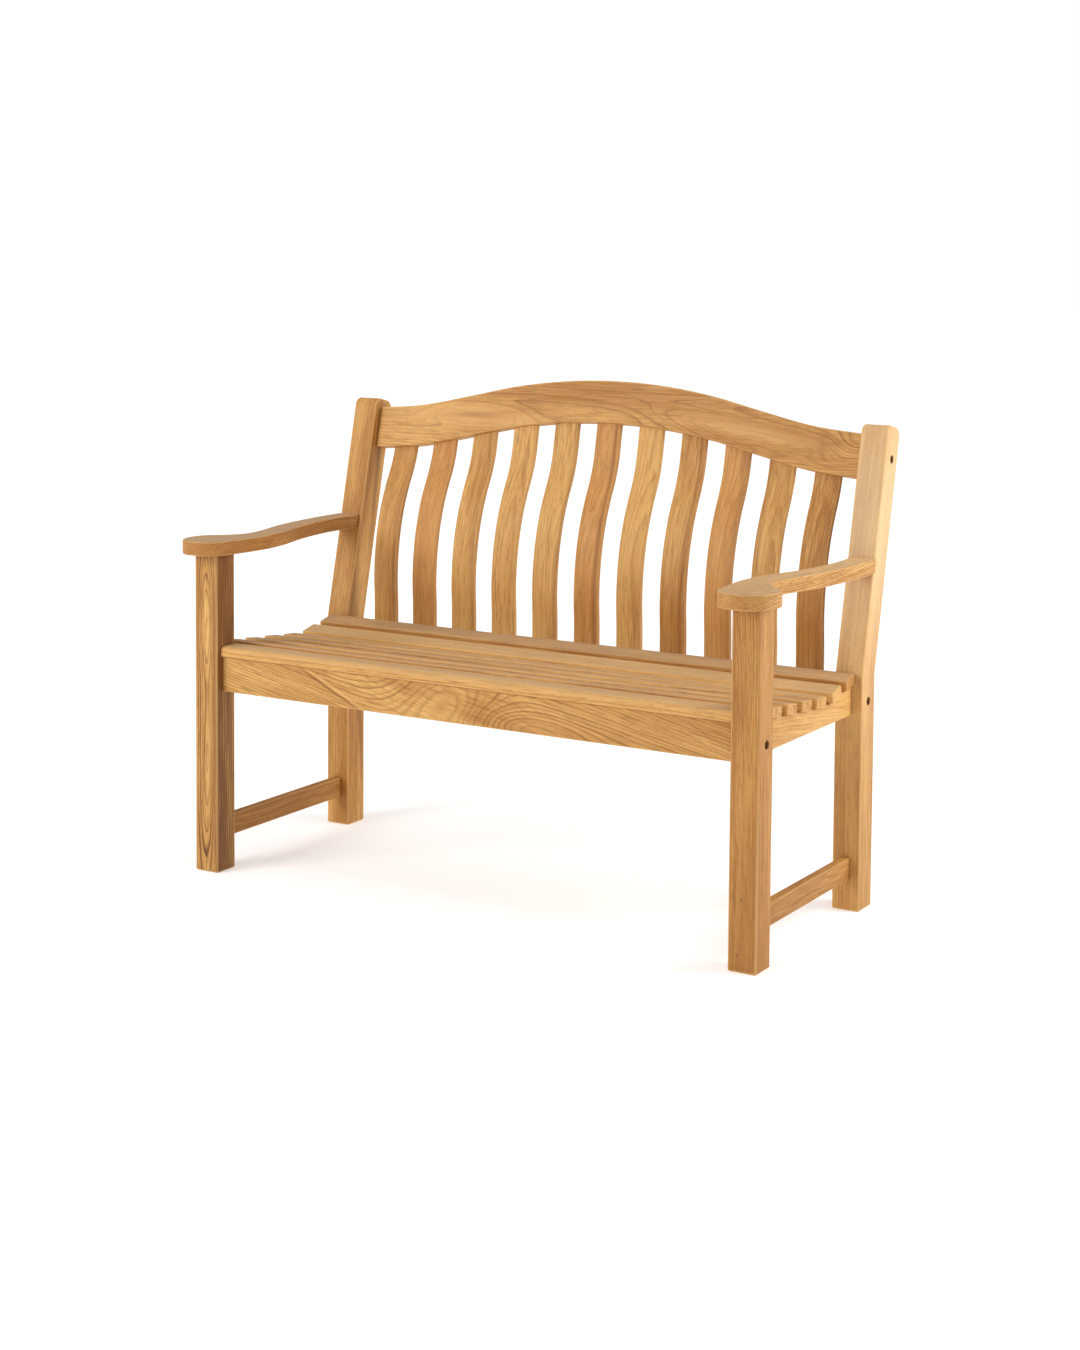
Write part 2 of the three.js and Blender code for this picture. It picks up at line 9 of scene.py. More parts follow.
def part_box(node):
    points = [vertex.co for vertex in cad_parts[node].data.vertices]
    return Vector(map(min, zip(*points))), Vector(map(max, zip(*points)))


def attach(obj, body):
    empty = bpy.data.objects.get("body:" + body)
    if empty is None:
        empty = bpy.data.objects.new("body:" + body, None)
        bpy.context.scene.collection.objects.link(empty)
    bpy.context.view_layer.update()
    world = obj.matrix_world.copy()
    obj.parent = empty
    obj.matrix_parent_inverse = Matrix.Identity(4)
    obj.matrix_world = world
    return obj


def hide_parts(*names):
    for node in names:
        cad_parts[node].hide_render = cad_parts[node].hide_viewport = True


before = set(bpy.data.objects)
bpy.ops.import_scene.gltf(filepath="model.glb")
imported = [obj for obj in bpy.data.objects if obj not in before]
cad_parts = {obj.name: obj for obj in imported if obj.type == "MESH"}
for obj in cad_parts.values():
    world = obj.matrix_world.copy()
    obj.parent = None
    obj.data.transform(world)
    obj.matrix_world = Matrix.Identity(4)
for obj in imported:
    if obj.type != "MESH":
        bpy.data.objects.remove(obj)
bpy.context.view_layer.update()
print("frame loaded:", len(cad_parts), "nodes")


# where things are, taken from the frame
legLow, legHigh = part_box("front_leg_right")
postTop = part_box("back_post_right")[1].z
railLow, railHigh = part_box("front_rail")
noseLow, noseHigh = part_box("seat_slat_1")
rearLow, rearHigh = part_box("rear_rail")

seam = 0.0003                      # daylight between two pieces that touch
spare = 0.001                      # how far a cutter stands proud of the face it cuts
benchFront = legLow.y              # front faces of the front legs
innerX = legLow.x                  # inner faces of legs and posts
outerX = legHigh.x
legMiddleX = (innerX + outerX) / 2
railEnd = innerX - seam            # where the long rails stop
ends = ("left", "right")
boltSpots = ("front", "rear", "crest")

# the back leans about a knee on the post's front face
back = {
    "postFront": 0.4376,           # behind the legs' front faces
    "knee": 0.442,
    "lean": radians(13),
    "crestBack": 0.018,            # crest's front face, square behind the post's front face
    "crestThick": 0.027,
}
postFrontY = benchFront + back["postFront"]


def nodeMiddle(node):
    low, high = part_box(node)
    return (low + high) / 2


def leaned(rise, depth):
    # rise goes up the post's front face from the knee, depth goes square into the post
    lean = back["lean"]
    return (postFrontY + rise * sin(lean) + depth * cos(lean),
            back["knee"] + rise * cos(lean) - depth * sin(lean))


def riseAt(height, depth):
    lean = back["lean"]
    return (height - back["knee"] + depth * sin(lean)) / cos(lean)


def alongCurve(points, at):
    # a smooth line through the points, read at one place
    last = len(points) - 1
    slopes = []
    for i in range(last + 1):
        a = points[max(i - 1, 0)]
        b = points[min(i + 1, last)]
        slopes.append((b[1] - a[1]) / (b[0] - a[0]))
    i = 0
    while i < last - 1 and at > points[i + 1][0]:
        i += 1
    (x0, y0), (x1, y1) = points[i], points[i + 1]
    width = x1 - x0
    t = min(max((at - x0) / width, 0), 1)
    bendIn = slopes[i] * width
    bendOut = slopes[i + 1] * width
    return (y0 * (1 + 2 * t) * (1 - t) ** 2 + bendIn * t * (1 - t) ** 2
            + y1 * t * t * (3 - 2 * t) + bendOut * t * t * (t - 1))


# modelling steps
mergeReach = 0.00001               # points closer than this become one
sharpFrom = radians(38)            # edges that fold more than this are rounded
smoothBelow = radians(40)          # and those that fold less than this are shaded smooth
squarely = 0.9                     # how nearly a face or an edge keeps to an axis, to be picked


def deselectAll():
    if bpy.context.mode != "OBJECT":
        bpy.ops.object.mode_set(mode="OBJECT")
    bpy.ops.object.select_all(action="DESELECT")


def selectOnly(piece):
    deselectAll()
    piece.select_set(True)
    bpy.context.view_layer.objects.active = piece


def named(name):
    piece = bpy.context.object
    piece.name = name
    piece.data.name = name
    return piece


def addBlock(name, low, high, turn=(0, 0, 0)):
    deselectAll()
    low, high = Vector(low), Vector(high)
    bpy.ops.mesh.primitive_cube_add(size=1, location=(low + high) / 2, rotation=turn, scale=high - low)
    bpy.ops.object.transform_apply(location=True, rotation=True, scale=True)
    return named(name)


def addRod(name, middle, width, length, turn=(0, 0, 0), facets=32):
    deselectAll()
    bpy.ops.mesh.primitive_cylinder_add(vertices=facets, radius=width / 2, depth=length,
                                        location=middle, rotation=turn)
    bpy.ops.object.transform_apply(location=True, rotation=True, scale=True)
    return named(name)


def addSection(name, middle, width, height, turn):
    # the square end of a board, to be drawn out along it
    deselectAll()
    bpy.ops.mesh.primitive_plane_add(size=1, location=middle, rotation=turn)
    bpy.context.object.scale = (width, height, 1)
    bpy.ops.object.transform_apply(location=True, rotation=True, scale=True)
    piece = named(name)
    bpy.ops.object.mode_set(mode="EDIT")
    bpy.ops.mesh.select_mode(type="FACE")
    bpy.ops.mesh.select_all(action="SELECT")
    return piece


def drawOut(step, grow=(1, 1, 1), about=None):
    bpy.ops.mesh.extrude_region_move(TRANSFORM_OT_translate={"value": step})
    if grow != (1, 1, 1):
        bpy.ops.transform.resize(value=grow, center_override=about)


def closeUp(piece):
    bpy.ops.mesh.select_all(action="SELECT")
    bpy.ops.mesh.remove_doubles(threshold=mergeReach)
    bpy.ops.mesh.normals_make_consistent(inside=False)
    bpy.ops.object.mode_set(mode="OBJECT")
    return piece


def pickEdges(piece, test):
    # test gets an edge's middle and direction
    selectOnly(piece)
    bpy.ops.object.mode_set(mode="EDIT")
    bpy.ops.mesh.select_mode(type="EDGE")
    bpy.ops.mesh.select_all(action="DESELECT")
    shape = bmesh.from_edit_mesh(piece.data)
    for edge in shape.edges:
        a, b = edge.verts[0].co, edge.verts[1].co
        edge.select_set(test((a + b) / 2, (b - a).normalized()))
    bmesh.update_edit_mesh(piece.data)


def pickFaces(piece, test):
    selectOnly(piece)
    bpy.ops.object.mode_set(mode="EDIT")
    bpy.ops.mesh.select_mode(type="FACE")
    bpy.ops.mesh.select_all(action="DESELECT")
    shape = bmesh.from_edit_mesh(piece.data)
    for face in shape.faces:
        face.select_set(test(face.calc_center_median(), face.normal))
    bmesh.update_edit_mesh(piece.data)


def roundPicked(radius, steps):
    bpy.ops.mesh.bevel(offset=radius, segments=steps, affect="EDGES")
    bpy.ops.object.mode_set(mode="OBJECT")


def softenEdges(piece, radius, steps=4):
    selectOnly(piece)
    bpy.ops.object.modifier_add(type="BEVEL")
    bevel = piece.modifiers[-1]
    bevel.width = radius
    bevel.segments = steps
    bevel.limit_method = "ANGLE"
    bevel.angle_limit = sharpFrom
    bpy.ops.object.modifier_apply(modifier=bevel.name)


def cutWith(piece, cutter):
    selectOnly(piece)
    bpy.ops.object.modifier_add(type="BOOLEAN")
    cut = piece.modifiers[-1]
    cut.operation = "DIFFERENCE"
    cut.solver = "EXACT"
    cut.object = cutter
    bpy.ops.object.modifier_apply(modifier=cut.name)
    bpy.data.objects.remove(cutter)


def copyOf(piece, name, move=(0, 0, 0)):
    selectOnly(piece)
    bpy.ops.object.duplicate()
    bpy.ops.transform.translate(value=move)
    bpy.ops.object.transform_apply(location=True, rotation=True, scale=True)
    return named(name)


def mirroredCopy(piece, name):
    selectOnly(piece)
    bpy.ops.object.duplicate()
    bpy.ops.transform.resize(value=(-1, 1, 1), center_override=(0, 0, 0))
    bpy.ops.object.transform_apply(location=True, rotation=True, scale=True)
    bpy.ops.object.mode_set(mode="EDIT")
    bpy.ops.mesh.select_all(action="SELECT")
    bpy.ops.mesh.normals_make_consistent(inside=False)
    bpy.ops.object.mode_set(mode="OBJECT")
    return named(name)


# marks for the wood
axes = {"x": Vector((1, 0, 0)), "y": Vector((0, 1, 0)), "z": Vector((0, 0, 1))}
plainBoard = {
    "along": "x",         # the way the grain runs
    "across": "z",        # across the face that shows
    "turn": 0,            # degrees the board was turned in the log before sawing
    "pith": (0.0, 0.07),  # from the board's middle to the heart of the log, across and deep
    "slope": (0, 0),      # how far the grain runs out of the board, across and deep
    "seed": 1,            # which stretch of the trunk it comes from
    "tone": 0,            # darker above 0, paler below
    "warm": 0,            # redder above 0
    "figure": 1,          # how strongly the rings show
    "stripe": None,       # (place across, width, strength) of a darker stripe
}
edgeStripWidth = 0.0026            # faces narrower than this belong to a rounded edge
trunkStep = 3.7                    # along the trunk, from one seed to the next


def markWood(piece, look, sweep=None):
    look = {**plainBoard, **look}
    mesh = piece.data
    count = len(mesh.vertices)
    spots = np.zeros(count * 3, np.float32)
    mesh.vertices.foreach_get("co", spots)
    spots = spots.reshape(-1, 3).astype(float)
    if sweep is not None:              # the grain of a bent or leaning board goes with it
        spots[:, 1] -= np.array([sweep(z) for z in spots[:, 2]])
    local = spots - (spots.min(0) + spots.max(0)) / 2
    along = np.array(axes[look["along"]])
    across = np.array(axes[look["across"]])
    deep = np.cross(along, across)
    u, v, w = local @ along, local @ across, local @ deep
    turn = radians(look["turn"])
    a = v * cos(turn) + w * sin(turn) + look["pith"][0] + look["slope"][0] * u
    b = -v * sin(turn) + w * cos(turn) + look["pith"][1] + look["slope"][1] * u
    place, width, strength = look["stripe"] or (0, 1, 0)
    vectors = {
        "grain": np.stack([u + look["seed"] * trunkStep, a, b], 1),
        "face": np.stack([u, v, w], 1),
        "board": np.tile([look["tone"], look["warm"], look["figure"]], (count, 1)),
        "stripe": np.stack([(v - place) / width, np.full(count, strength), np.zeros(count)], 1),
    }
    for name, values in vectors.items():
        mesh.attributes.new(name, "FLOAT_VECTOR", "POINT").data.foreach_set("vector", values.ravel())
    # points that lie only on narrow strips are on a rounded edge, where the wood is rubbed
    widest = np.zeros(count)
    for face in mesh.polygons:
        corners = [mesh.vertices[i].co for i in face.vertices]
        longest = max((corners[i] - corners[i - 1]).length for i in range(len(corners)))
        narrow = face.area / max(longest, 1e-9)
        for i in face.vertices:
            widest[i] = max(widest[i], narrow)
    rubbed = (widest < edgeStripWidth).astype(float)
    mesh.attributes.new("edge", "FLOAT", "POINT").data.foreach_set("value", rubbed)


def shadeWellWalls(piece, spots):
    # painted shade: the walls of these bolt holes are darkened, for the shade inside the holes
    edge = piece.data.attributes["edge"].data
    for vertex in piece.data.vertices:
        x, y, z = vertex.co
        inside = any((y - boltY[where]) ** 2 + (z - boltZ[where]) ** 2 < boltHole["shadeReach"] ** 2
                     for where in spots)
        if inside and abs(x) < outerX - boltHole["flare"] / 2:
            edge[vertex.index].value = -1


def finishPiece(piece, node, material):
    selectOnly(piece)
    bpy.ops.object.shade_smooth_by_angle(angle=smoothBelow)
    bpy.ops.object.modifier_add(type="WEIGHTED_NORMAL")
    piece.modifiers[-1].keep_sharp = True
    bpy.ops.object.modifier_apply(modifier=piece.modifiers[-1].name)
    piece.data.materials.clear()
    piece.data.materials.append(material)
    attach(piece, "root")
    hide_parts(node)


# materials
def newTree(name):
    material = bpy.data.materials.new(name)
    material.use_nodes = True
    material.node_tree.nodes.clear()
    return material, material.node_tree


def put(tree, kind, inputs=None, **settings):
    node = tree.nodes.new(kind)
    for key, value in settings.items():
        setattr(node, key, value)
    for key, value in (inputs or {}).items():
        if isinstance(value, bpy.types.NodeSocket):
            tree.links.new(value, node.inputs[key])
        else:
            node.inputs[key].default_value = value
    return node


def maths(tree, operation, a, b=0.5, clamp=False):
    return put(tree, "ShaderNodeMath", {0: a, 1: b}, operation=operation, use_clamp=clamp).outputs[0]


def vectorMaths(tree, operation, a, b=(0, 0, 0)):
    node = put(tree, "ShaderNodeVectorMath", {0: a, 1: b}, operation=operation)
    return node.outputs["Value" if operation in ("LENGTH", "DOT_PRODUCT") else "Vector"]


def stretched(tree, vector, scale):
    return vectorMaths(tree, "MULTIPLY", vector, scale)


def noiseOf(tree, vector, detail=2.0, rough=0.5, scale=1.0):
    return put(tree, "ShaderNodeTexNoise",
               {"Vector": vector, "Scale": scale, "Detail": detail, "Roughness": rough})


def spread(tree, value, low, high, outLow=0.0, outHigh=1.0, kind="SMOOTHSTEP"):
    node = put(tree, "ShaderNodeMapRange",
               {"Value": value, "From Min": low, "From Max": high, "To Min": outLow, "To Max": outHigh},
               interpolation_type=kind)
    return node.outputs[0]


def mixColour(tree, factor, first, second, kind="MIX"):
    # sockets 6 and 7 are the colours, and output 2 is the mixed one
    node = put(tree, "ShaderNodeMix", {0: factor, 6: first, 7: second},
               data_type="RGBA", blend_type=kind)
    return node.outputs[2]


def hillOn(tree, face, along, across, reachAlong, reachAcross, slant=0.0):
    # 1 at a spot on the board's face, falling to 0 about it; slant tips the oval up along the board
    away = vectorMaths(tree, "SUBTRACT", face, (along, across, 0))
    away = stretched(tree, away, (1 / reachAlong, 1 / reachAcross, 0))
    x, y, _ = put(tree, "ShaderNodeSeparateXYZ", {0: away}).outputs[:3]
    y = maths(tree, "SUBTRACT", y, maths(tree, "MULTIPLY", x, slant * reachAlong / reachAcross))
    squared = maths(tree, "ADD", maths(tree, "MULTIPLY", x, x), maths(tree, "MULTIPLY", y, y))
    return maths(tree, "EXPONENT", maths(tree, "MULTIPLY", squared, -1.0))


woodLook = {
    "pale": (0.700, 0.392, 0.118, 1),
    "deep": (0.445, 0.195, 0.042, 1),
    "line": (0.250, 0.090, 0.018, 1),
    "pore": (0.200, 0.085, 0.030, 1),
    "rubbed": (0.740, 0.450, 0.175, 1),
    "red": (0.60, 0.262, 0.070, 1),    # a board whose warm is 1
    # painted sheen colour, for faces that look up
    "silk": (0.72, 0.72, 0.72, 1),     # how far the finest fibres darken
    "sheenGrey": (0.56, 0.395, 0.235, 1),
    "ringSpacing": 0.0042,
    "lateFrom": 0.45,        # where in a ring the late wood starts
    "lateShare": 0.72,       # how dark it gets, beside the line that ends it
    "earlyTo": 0.13,         # and how far that line reaches into the next ring
    "ringRuns": 0.22,        # runs of rings, in a ring's width
    "wander": 0.013,         # how far the rings stray from round
    "ripple": 0.0022,        # and how far they quiver
    "waver": 1.8,            # patches quiver this much more
    "ringStrength": 0.68,
    "fibreStrength": 0.42,
    "fibreDepth": 1.6,       # fibres count this much more between pale and deep
    "poreStrength": 0.70,
    "fleckStrength": 0.62,
    "stripeWander": 0.9,     # in half widths of the stripe
    "wellShade": 0.85,        # how dark the painted shade on the bolt holes' walls is
    "topSheen": 0.0,          # painted sheen: faces that look up turn a paler grey, as the light from above falls on them
    "roughness": 0.52,
    "fibreRough": (-0.07, 0.09),
    "poreRough": 0.25,
    "edgeSmooth": 0.06,
    "specular": 0.27,
    "bump": 0.30,
    "bumpDepth": 0.0005,
    # grains in a metre: along the trunk, and twice across it
    "strayGrain": (2.2, 9, 9),
    "rippleGrain": (14, 60, 60),
    "fibreGrain": (7, 420, 420),
    "fineGrain": (40, 1300, 1300),
    "cloudGrain": (2.6, 22, 22),
    "fleckGrain": (24, 270, 270),
    "poreGrain": (95, 900, 900),
    # ovals where the rings bulge: along, across, reach along, reach across, slant, height
    "eyes": [],
    # coloured patches: along, across, reach along, reach across, slant, strength, colour
    "blots": [],
}


def woodMaterial(name, look):
    look = {**woodLook, **look}
    material, tree = newTree(name)
    grain = put(tree, "ShaderNodeAttribute", attribute_name="grain").outputs["Vector"]
    face = put(tree, "ShaderNodeAttribute", attribute_name="face").outputs["Vector"]
    board = put(tree, "ShaderNodeAttribute", attribute_name="board").outputs["Vector"]
    tone, warm, figure = put(tree, "ShaderNodeSeparateXYZ", {0: board}).outputs[:3]

    # growth rings about the heart of the log, straying a little along the trunk
    stray = noiseOf(tree, stretched(tree, grain, look["strayGrain"]), 2.0, 0.45).outputs["Color"]
    stray = vectorMaths(tree, "SUBTRACT", stray, (0.5, 0.5, 0.5))
    stray = stretched(tree, stray, (0, look["wander"] * 2, look["wander"] * 2))
    ripple = noiseOf(tree, stretched(tree, grain, look["rippleGrain"]), 2.0, 0.5).outputs["Color"]
    ripple = vectorMaths(tree, "SUBTRACT", ripple, (0.5, 0.5, 0.5))
    ripple = stretched(tree, ripple, (0, look["ripple"], look["ripple"]))
    log = vectorMaths(tree, "ADD", vectorMaths(tree, "ADD", grain, stray), ripple)
    radius = vectorMaths(tree, "LENGTH", stretched(tree, log, (0, 1, 1)))
    # the edges of coloured patches waver with the fibres
    waver = vectorMaths(tree, "ADD", face, stretched(tree, ripple, (0, look["waver"], 0)))
    for *spot, height in look["eyes"]:
        radius = maths(tree, "ADD", radius, maths(tree, "MULTIPLY", hillOn(tree, face, *spot), height))
    rings = maths(tree, "MULTIPLY", radius, 1 / look["ringSpacing"])
    inRing = maths(tree, "FRACT", rings)
    late = spread(tree, inRing, look["lateFrom"], 1.0)
    early = spread(tree, inRing, 0.0, look["earlyTo"], 1.0, 0.0)
    line = maths(tree, "MAXIMUM", maths(tree, "MULTIPLY", late, look["lateShare"]), early)
    # each ring is darker or paler as a whole, and so are runs of rings
    ringId = maths(tree, "FLOOR", rings)
    ringMood = put(tree, "ShaderNodeTexWhiteNoise", {"W": ringId}, noise_dimensions="1D").outputs["Value"]
    ringMood = spread(tree, ringMood, 0.1, 1.0, 0.18, 1.0, "LINEAR")
    slowRings = put(tree, "ShaderNodeTexNoise", {"W": rings, "Scale": look["ringRuns"], "Detail": 2.0},
                    noise_dimensions="1D").outputs["Fac"]
    line = maths(tree, "MULTIPLY", maths(tree, "MULTIPLY", line, ringMood), figure)

    # fibres and pores run with the trunk
    fibre = noiseOf(tree, stretched(tree, log, look["fibreGrain"]), 4.0, 0.62).outputs["Fac"]
    fineFibre = noiseOf(tree, stretched(tree, log, look["fineGrain"]), 3.0, 0.6).outputs["Fac"]
    cloud = noiseOf(tree, stretched(tree, log, look["cloudGrain"]), 3.0, 0.55).outputs["Fac"]
    fleck = noiseOf(tree, stretched(tree, log, look["fleckGrain"]), 3.0, 0.7).outputs["Fac"]
    cells = put(tree, "ShaderNodeTexVoronoi",
                {"Vector": stretched(tree, log, look["poreGrain"]), "Scale": 1.0, "Randomness": 1.0},
                feature="F1")
    pore = spread(tree, cells.outputs["Distance"], 0.10, 0.34, 1.0, 0.0)
    chosen = put(tree, "ShaderNodeSeparateColor", {0: cells.outputs["Color"]}).outputs[0]
    pore = maths(tree, "MULTIPLY", pore, spread(tree, chosen, 0.35, 0.6))
    pore = maths(tree, "MULTIPLY", pore, spread(tree, line, 0.0, 0.8, 0.45, 1.0))

    # from the pale colour to the deep one: clouds, the board's own tone, runs of rings and fibres
    depth = maths(tree, "ADD", spread(tree, cloud, 0.25, 0.75), tone)
    ringRuns = spread(tree, slowRings, 0.3, 0.7, -0.5, 0.5)
    depth = maths(tree, "ADD", depth, maths(tree, "MULTIPLY", ringRuns, 0.5))
    fibreRuns = spread(tree, fibre, 0.3, 0.7, -0.5, 0.5)
    fibreShare = look["fibreStrength"] * look["fibreDepth"]
    depth = maths(tree, "ADD", depth, maths(tree, "MULTIPLY", fibreRuns, fibreShare))
    colour = mixColour(tree, maths(tree, "MULTIPLY", depth, 1.0, True), look["pale"], look["deep"])
    colour = mixColour(tree, spread(tree, warm, 0.0, 1.0, 0.0, 1.0, "LINEAR"), colour, look["red"])
    colour = mixColour(tree, maths(tree, "MULTIPLY", line, look["ringStrength"]), colour, look["line"])
    flecked = maths(tree, "MULTIPLY", spread(tree, fleck, 0.48, 0.72, 0.0, look["fleckStrength"]),
                    maths(tree, "MINIMUM", figure, 1.0))
    colour = mixColour(tree, flecked, colour, look["line"])
    silk = spread(tree, fineFibre, 0.3, 0.7, 0.0, look["fibreStrength"])
    colour = mixColour(tree, silk, colour, look["silk"], "MULTIPLY")

    # a darker stripe along the board, which wanders with the clouds
    stripe = put(tree, "ShaderNodeAttribute", attribute_name="stripe").outputs["Vector"]
    stripeAt, stripeStrength, _ = put(tree, "ShaderNodeSeparateXYZ", {0: stripe}).outputs[:3]
    drift = maths(tree, "MULTIPLY", spread(tree, cloud, 0.2, 0.8, -1.0, 1.0), look["stripeWander"])
    bent = maths(tree, "ADD", stripeAt, drift)
    squared = maths(tree, "MULTIPLY", bent, bent)
    stripeHill = maths(tree, "EXPONENT", maths(tree, "MULTIPLY", squared, -1.0))
    colour = mixColour(tree, maths(tree, "MULTIPLY", stripeHill, stripeStrength), colour, look["line"])

    for *spot, strength, shade in look["blots"]:
        patch = maths(tree, "MULTIPLY", hillOn(tree, waver, *spot), strength)
        colour = mixColour(tree, patch, colour, shade)

    colour = mixColour(tree, maths(tree, "MULTIPLY", pore, look["poreStrength"]), colour, look["pore"])
    # edge is 1 on rubbed edges, and -1 on the walls of the bolt holes, which get painted shade
    edge = put(tree, "ShaderNodeAttribute", attribute_name="edge").outputs["Fac"]
    worn = maths(tree, "MULTIPLY", edge, spread(tree, cloud, 0.3, 0.7, 0.15, 0.5))
    colour = mixColour(tree, worn, colour, look["rubbed"])
    # painted shade: the walls of the bolt holes are mixed towards the dark pore colour
    colour = mixColour(tree, maths(tree, "MULTIPLY", edge, -look["wellShade"], True), colour, look["pore"])
    # painted sheen: faces that look up are mixed towards a pale grey, as the light from above falls on
    # them
    if look["topSheen"]:
        upward = put(tree, "ShaderNodeSeparateXYZ",
                     {0: put(tree, "ShaderNodeNewGeometry").outputs["Normal"]}).outputs[2]
        grey = maths(tree, "MULTIPLY", spread(tree, upward, 0.75, 0.98), look["topSheen"])
        colour = mixColour(tree, grey, colour, look["sheenGrey"])

    smoothest, roughest = (look["roughness"] + change for change in look["fibreRough"])
    rough = spread(tree, fibre, 0.3, 0.7, smoothest, roughest)
    rough = maths(tree, "ADD", rough, maths(tree, "MULTIPLY", pore, look["poreRough"]))
    rough = maths(tree, "SUBTRACT", rough, maths(tree, "MULTIPLY", edge, look["edgeSmooth"]))
    height = maths(tree, "SUBTRACT", maths(tree, "MULTIPLY", fibre, 0.5), pore)
    height = maths(tree, "SUBTRACT", height, maths(tree, "MULTIPLY", line, 0.35))
    bump = put(tree, "ShaderNodeBump",
               {"Strength": look["bump"], "Distance": look["bumpDepth"], "Height": height})
    surface = put(tree, "ShaderNodeBsdfPrincipled",
                  {"Base Color": colour, "Roughness": rough, "Normal": bump.outputs[0],
                   "Specular IOR Level": look["specular"]})
    put(tree, "ShaderNodeOutputMaterial", {"Surface": surface.outputs[0]})
    return material


metalLook = {
    "bright": (0.36, 0.29, 0.17, 1),
    "dull": (0.09, 0.068, 0.040, 1),
    "roughness": 0.34,
    "scratchRough": (-0.08, 0.16),
    "metallic": 0.95,
    "bump": 0.2,
    "bumpDepth": 0.0002,
    "blotchGrain": 260.0,
    "scratchGrain": (300, 2600, 2600),
}


def metalMaterial(name, look):
    material, tree = newTree(name)
    place = put(tree, "ShaderNodeTexCoord").outputs["Object"]
    blotch = noiseOf(tree, place, 4.0, 0.6, look["blotchGrain"]).outputs["Fac"]
    scratch = noiseOf(tree, stretched(tree, place, look["scratchGrain"]), 3.0, 0.6).outputs["Fac"]
    colour = mixColour(tree, spread(tree, blotch, 0.35, 0.7), look["bright"], look["dull"])
    smoothest, roughest = (look["roughness"] + change for change in look["scratchRough"])
    rough = spread(tree, scratch, 0.3, 0.7, smoothest, roughest)
    bump = put(tree, "ShaderNodeBump",
               {"Strength": look["bump"], "Distance": look["bumpDepth"], "Height": scratch})
    surface = put(tree, "ShaderNodeBsdfPrincipled",
                  {"Base Color": colour, "Roughness": rough, "Metallic": look["metallic"],
                   "Normal": bump.outputs[0]})
    put(tree, "ShaderNodeOutputMaterial", {"Surface": surface.outputs[0]})
    return material


# colours of the patches in the wood
paleFigure = (0.80, 0.475, 0.172, 1)
darkFigure = (0.36, 0.155, 0.042, 1)
veinBrown = (0.22, 0.07, 0.018, 1)
knotBrown = (0.12, 0.05, 0.02, 1)
# paler wood with painted light on it, for the right post's strongly lit upper part
paleAndLit = (0.80, 0.60, 0.385, 1)

frameWood = woodMaterial("frame_wood", {})
slatWood = woodMaterial("slat_wood", {"wander": 0.010, "ringStrength": 0.6})
# the seat and the arms get the painted sheen on faces that look up
seatWood = woodMaterial("seat_wood", {"wander": 0.008, "ringStrength": 0.62, "topSheen": 0.45})
armWood = woodMaterial("arm_wood", {
    "topSheen": 0.5,
    "ringStrength": 0.9,
    "blots": [(-0.235, 0.0, 0.09, 0.09, 0.0, 0.45, darkFigure)],
})
darkTones = {"pale": (0.610, 0.318, 0.083, 1), "deep": (0.370, 0.155, 0.032, 1)}
darkWood = woodMaterial("dark_wood", darkTones)
pinholedWood = woodMaterial("pinholed_wood", {
    **darkTones,
    "blots": [(-0.186, -0.002, 0.0022, 0.0015, 0.0, 0.9, knotBrown),
              (-0.281, -0.009, 0.0026, 0.0017, 0.0, 0.9, knotBrown),
              (-0.278, 0.024, 0.0022, 0.0016, 0.0, 0.8, knotBrown)],
})
postWood = woodMaterial("post_wood", {
    # painted light: the right post's upper part is paler, partly paler wood and partly the strong light
    # from the right
    "blots": [(0.26, 0.0, 0.28, 0.30, 0.0, 0.45, paleAndLit),
              # painted shade: its lower part is darker, where it lies in shadow
              (-0.35, 0.0, 0.25, 0.30, 0.0, 0.25, darkFigure)],
})
legWood = woodMaterial("leg_wood", {
    "line": (0.150, 0.052, 0.012, 1),
    "wander": 0.007,
    "ringSpacing": 0.0062,
    "ringStrength": 1.0,
    "fleckStrength": 0.55,
    "eyes": [(-0.09, 0.006, 0.17, 0.019, 0.02, -0.026), (0.185, 0.002, 0.13, 0.019, 0.0, -0.030)],
    "blots": [(-0.09, 0.006, 0.12, 0.006, 0.02, 0.45, paleFigure),
              (0.185, -0.023, 0.17, 0.008, 0.0, 0.45, darkFigure),
              (0.10, 0.019, 0.30, 0.006, 0.0, 0.40, darkFigure)],
})
crestWood = woodMaterial("crest_wood", {
    "wander": 0.0045,
    "ringSpacing": 0.0042,
    "ringStrength": 0.95,
    "eyes": [(-0.31, 0.001, 0.10, 0.021, 0.0, 0.030), (0.29, -0.001, 0.18, 0.024, -0.14, 0.034),
             (0.53, -0.02, 0.07, 0.04, 0.5, -0.014)],
    "blots": [(-0.479, 0.001, 0.006, 0.003, 0.0, 0.85, knotBrown),
              (-0.31, 0.001, 0.125, 0.019, 0.0, 0.75, paleFigure),
              (-0.31, 0.001, 0.080, 0.0090, 0.0, 0.85, darkFigure),
              (-0.22, 0.012, 0.30, 0.004, 0.10, 0.35, darkFigure),
              (0.02, -0.018, 0.11, 0.005, 0.16, 0.35, darkFigure),
              (0.32, -0.002, 0.14, 0.012, -0.14, 0.75, paleFigure),
              (0.35, -0.006, 0.06, 0.003, -0.14, 0.45, darkFigure),
              (0.466, -0.020, 0.010, 0.022, 0.2, 0.55, darkFigure),
              (0.39, -0.036, 0.07, 0.004, 0.10, 0.45, darkFigure),
              # painted light: the left end is paler, where the light from the front left falls strongest
              (-0.46, 0.0, 0.13, 0.05, 0.0, 0.35, paleFigure),
              (-0.20, -0.012, 0.06, 0.012, 0.10, 0.35, paleFigure),
              # painted shade: the next two darken the upper middle and the right part, where less of that
              # light falls
              (0.05, 0.045, 0.40, 0.018, 0.0, 0.35, darkFigure),
              (0.22, 0.022, 0.36, 0.045, -0.10, 0.40, darkFigure)],
})
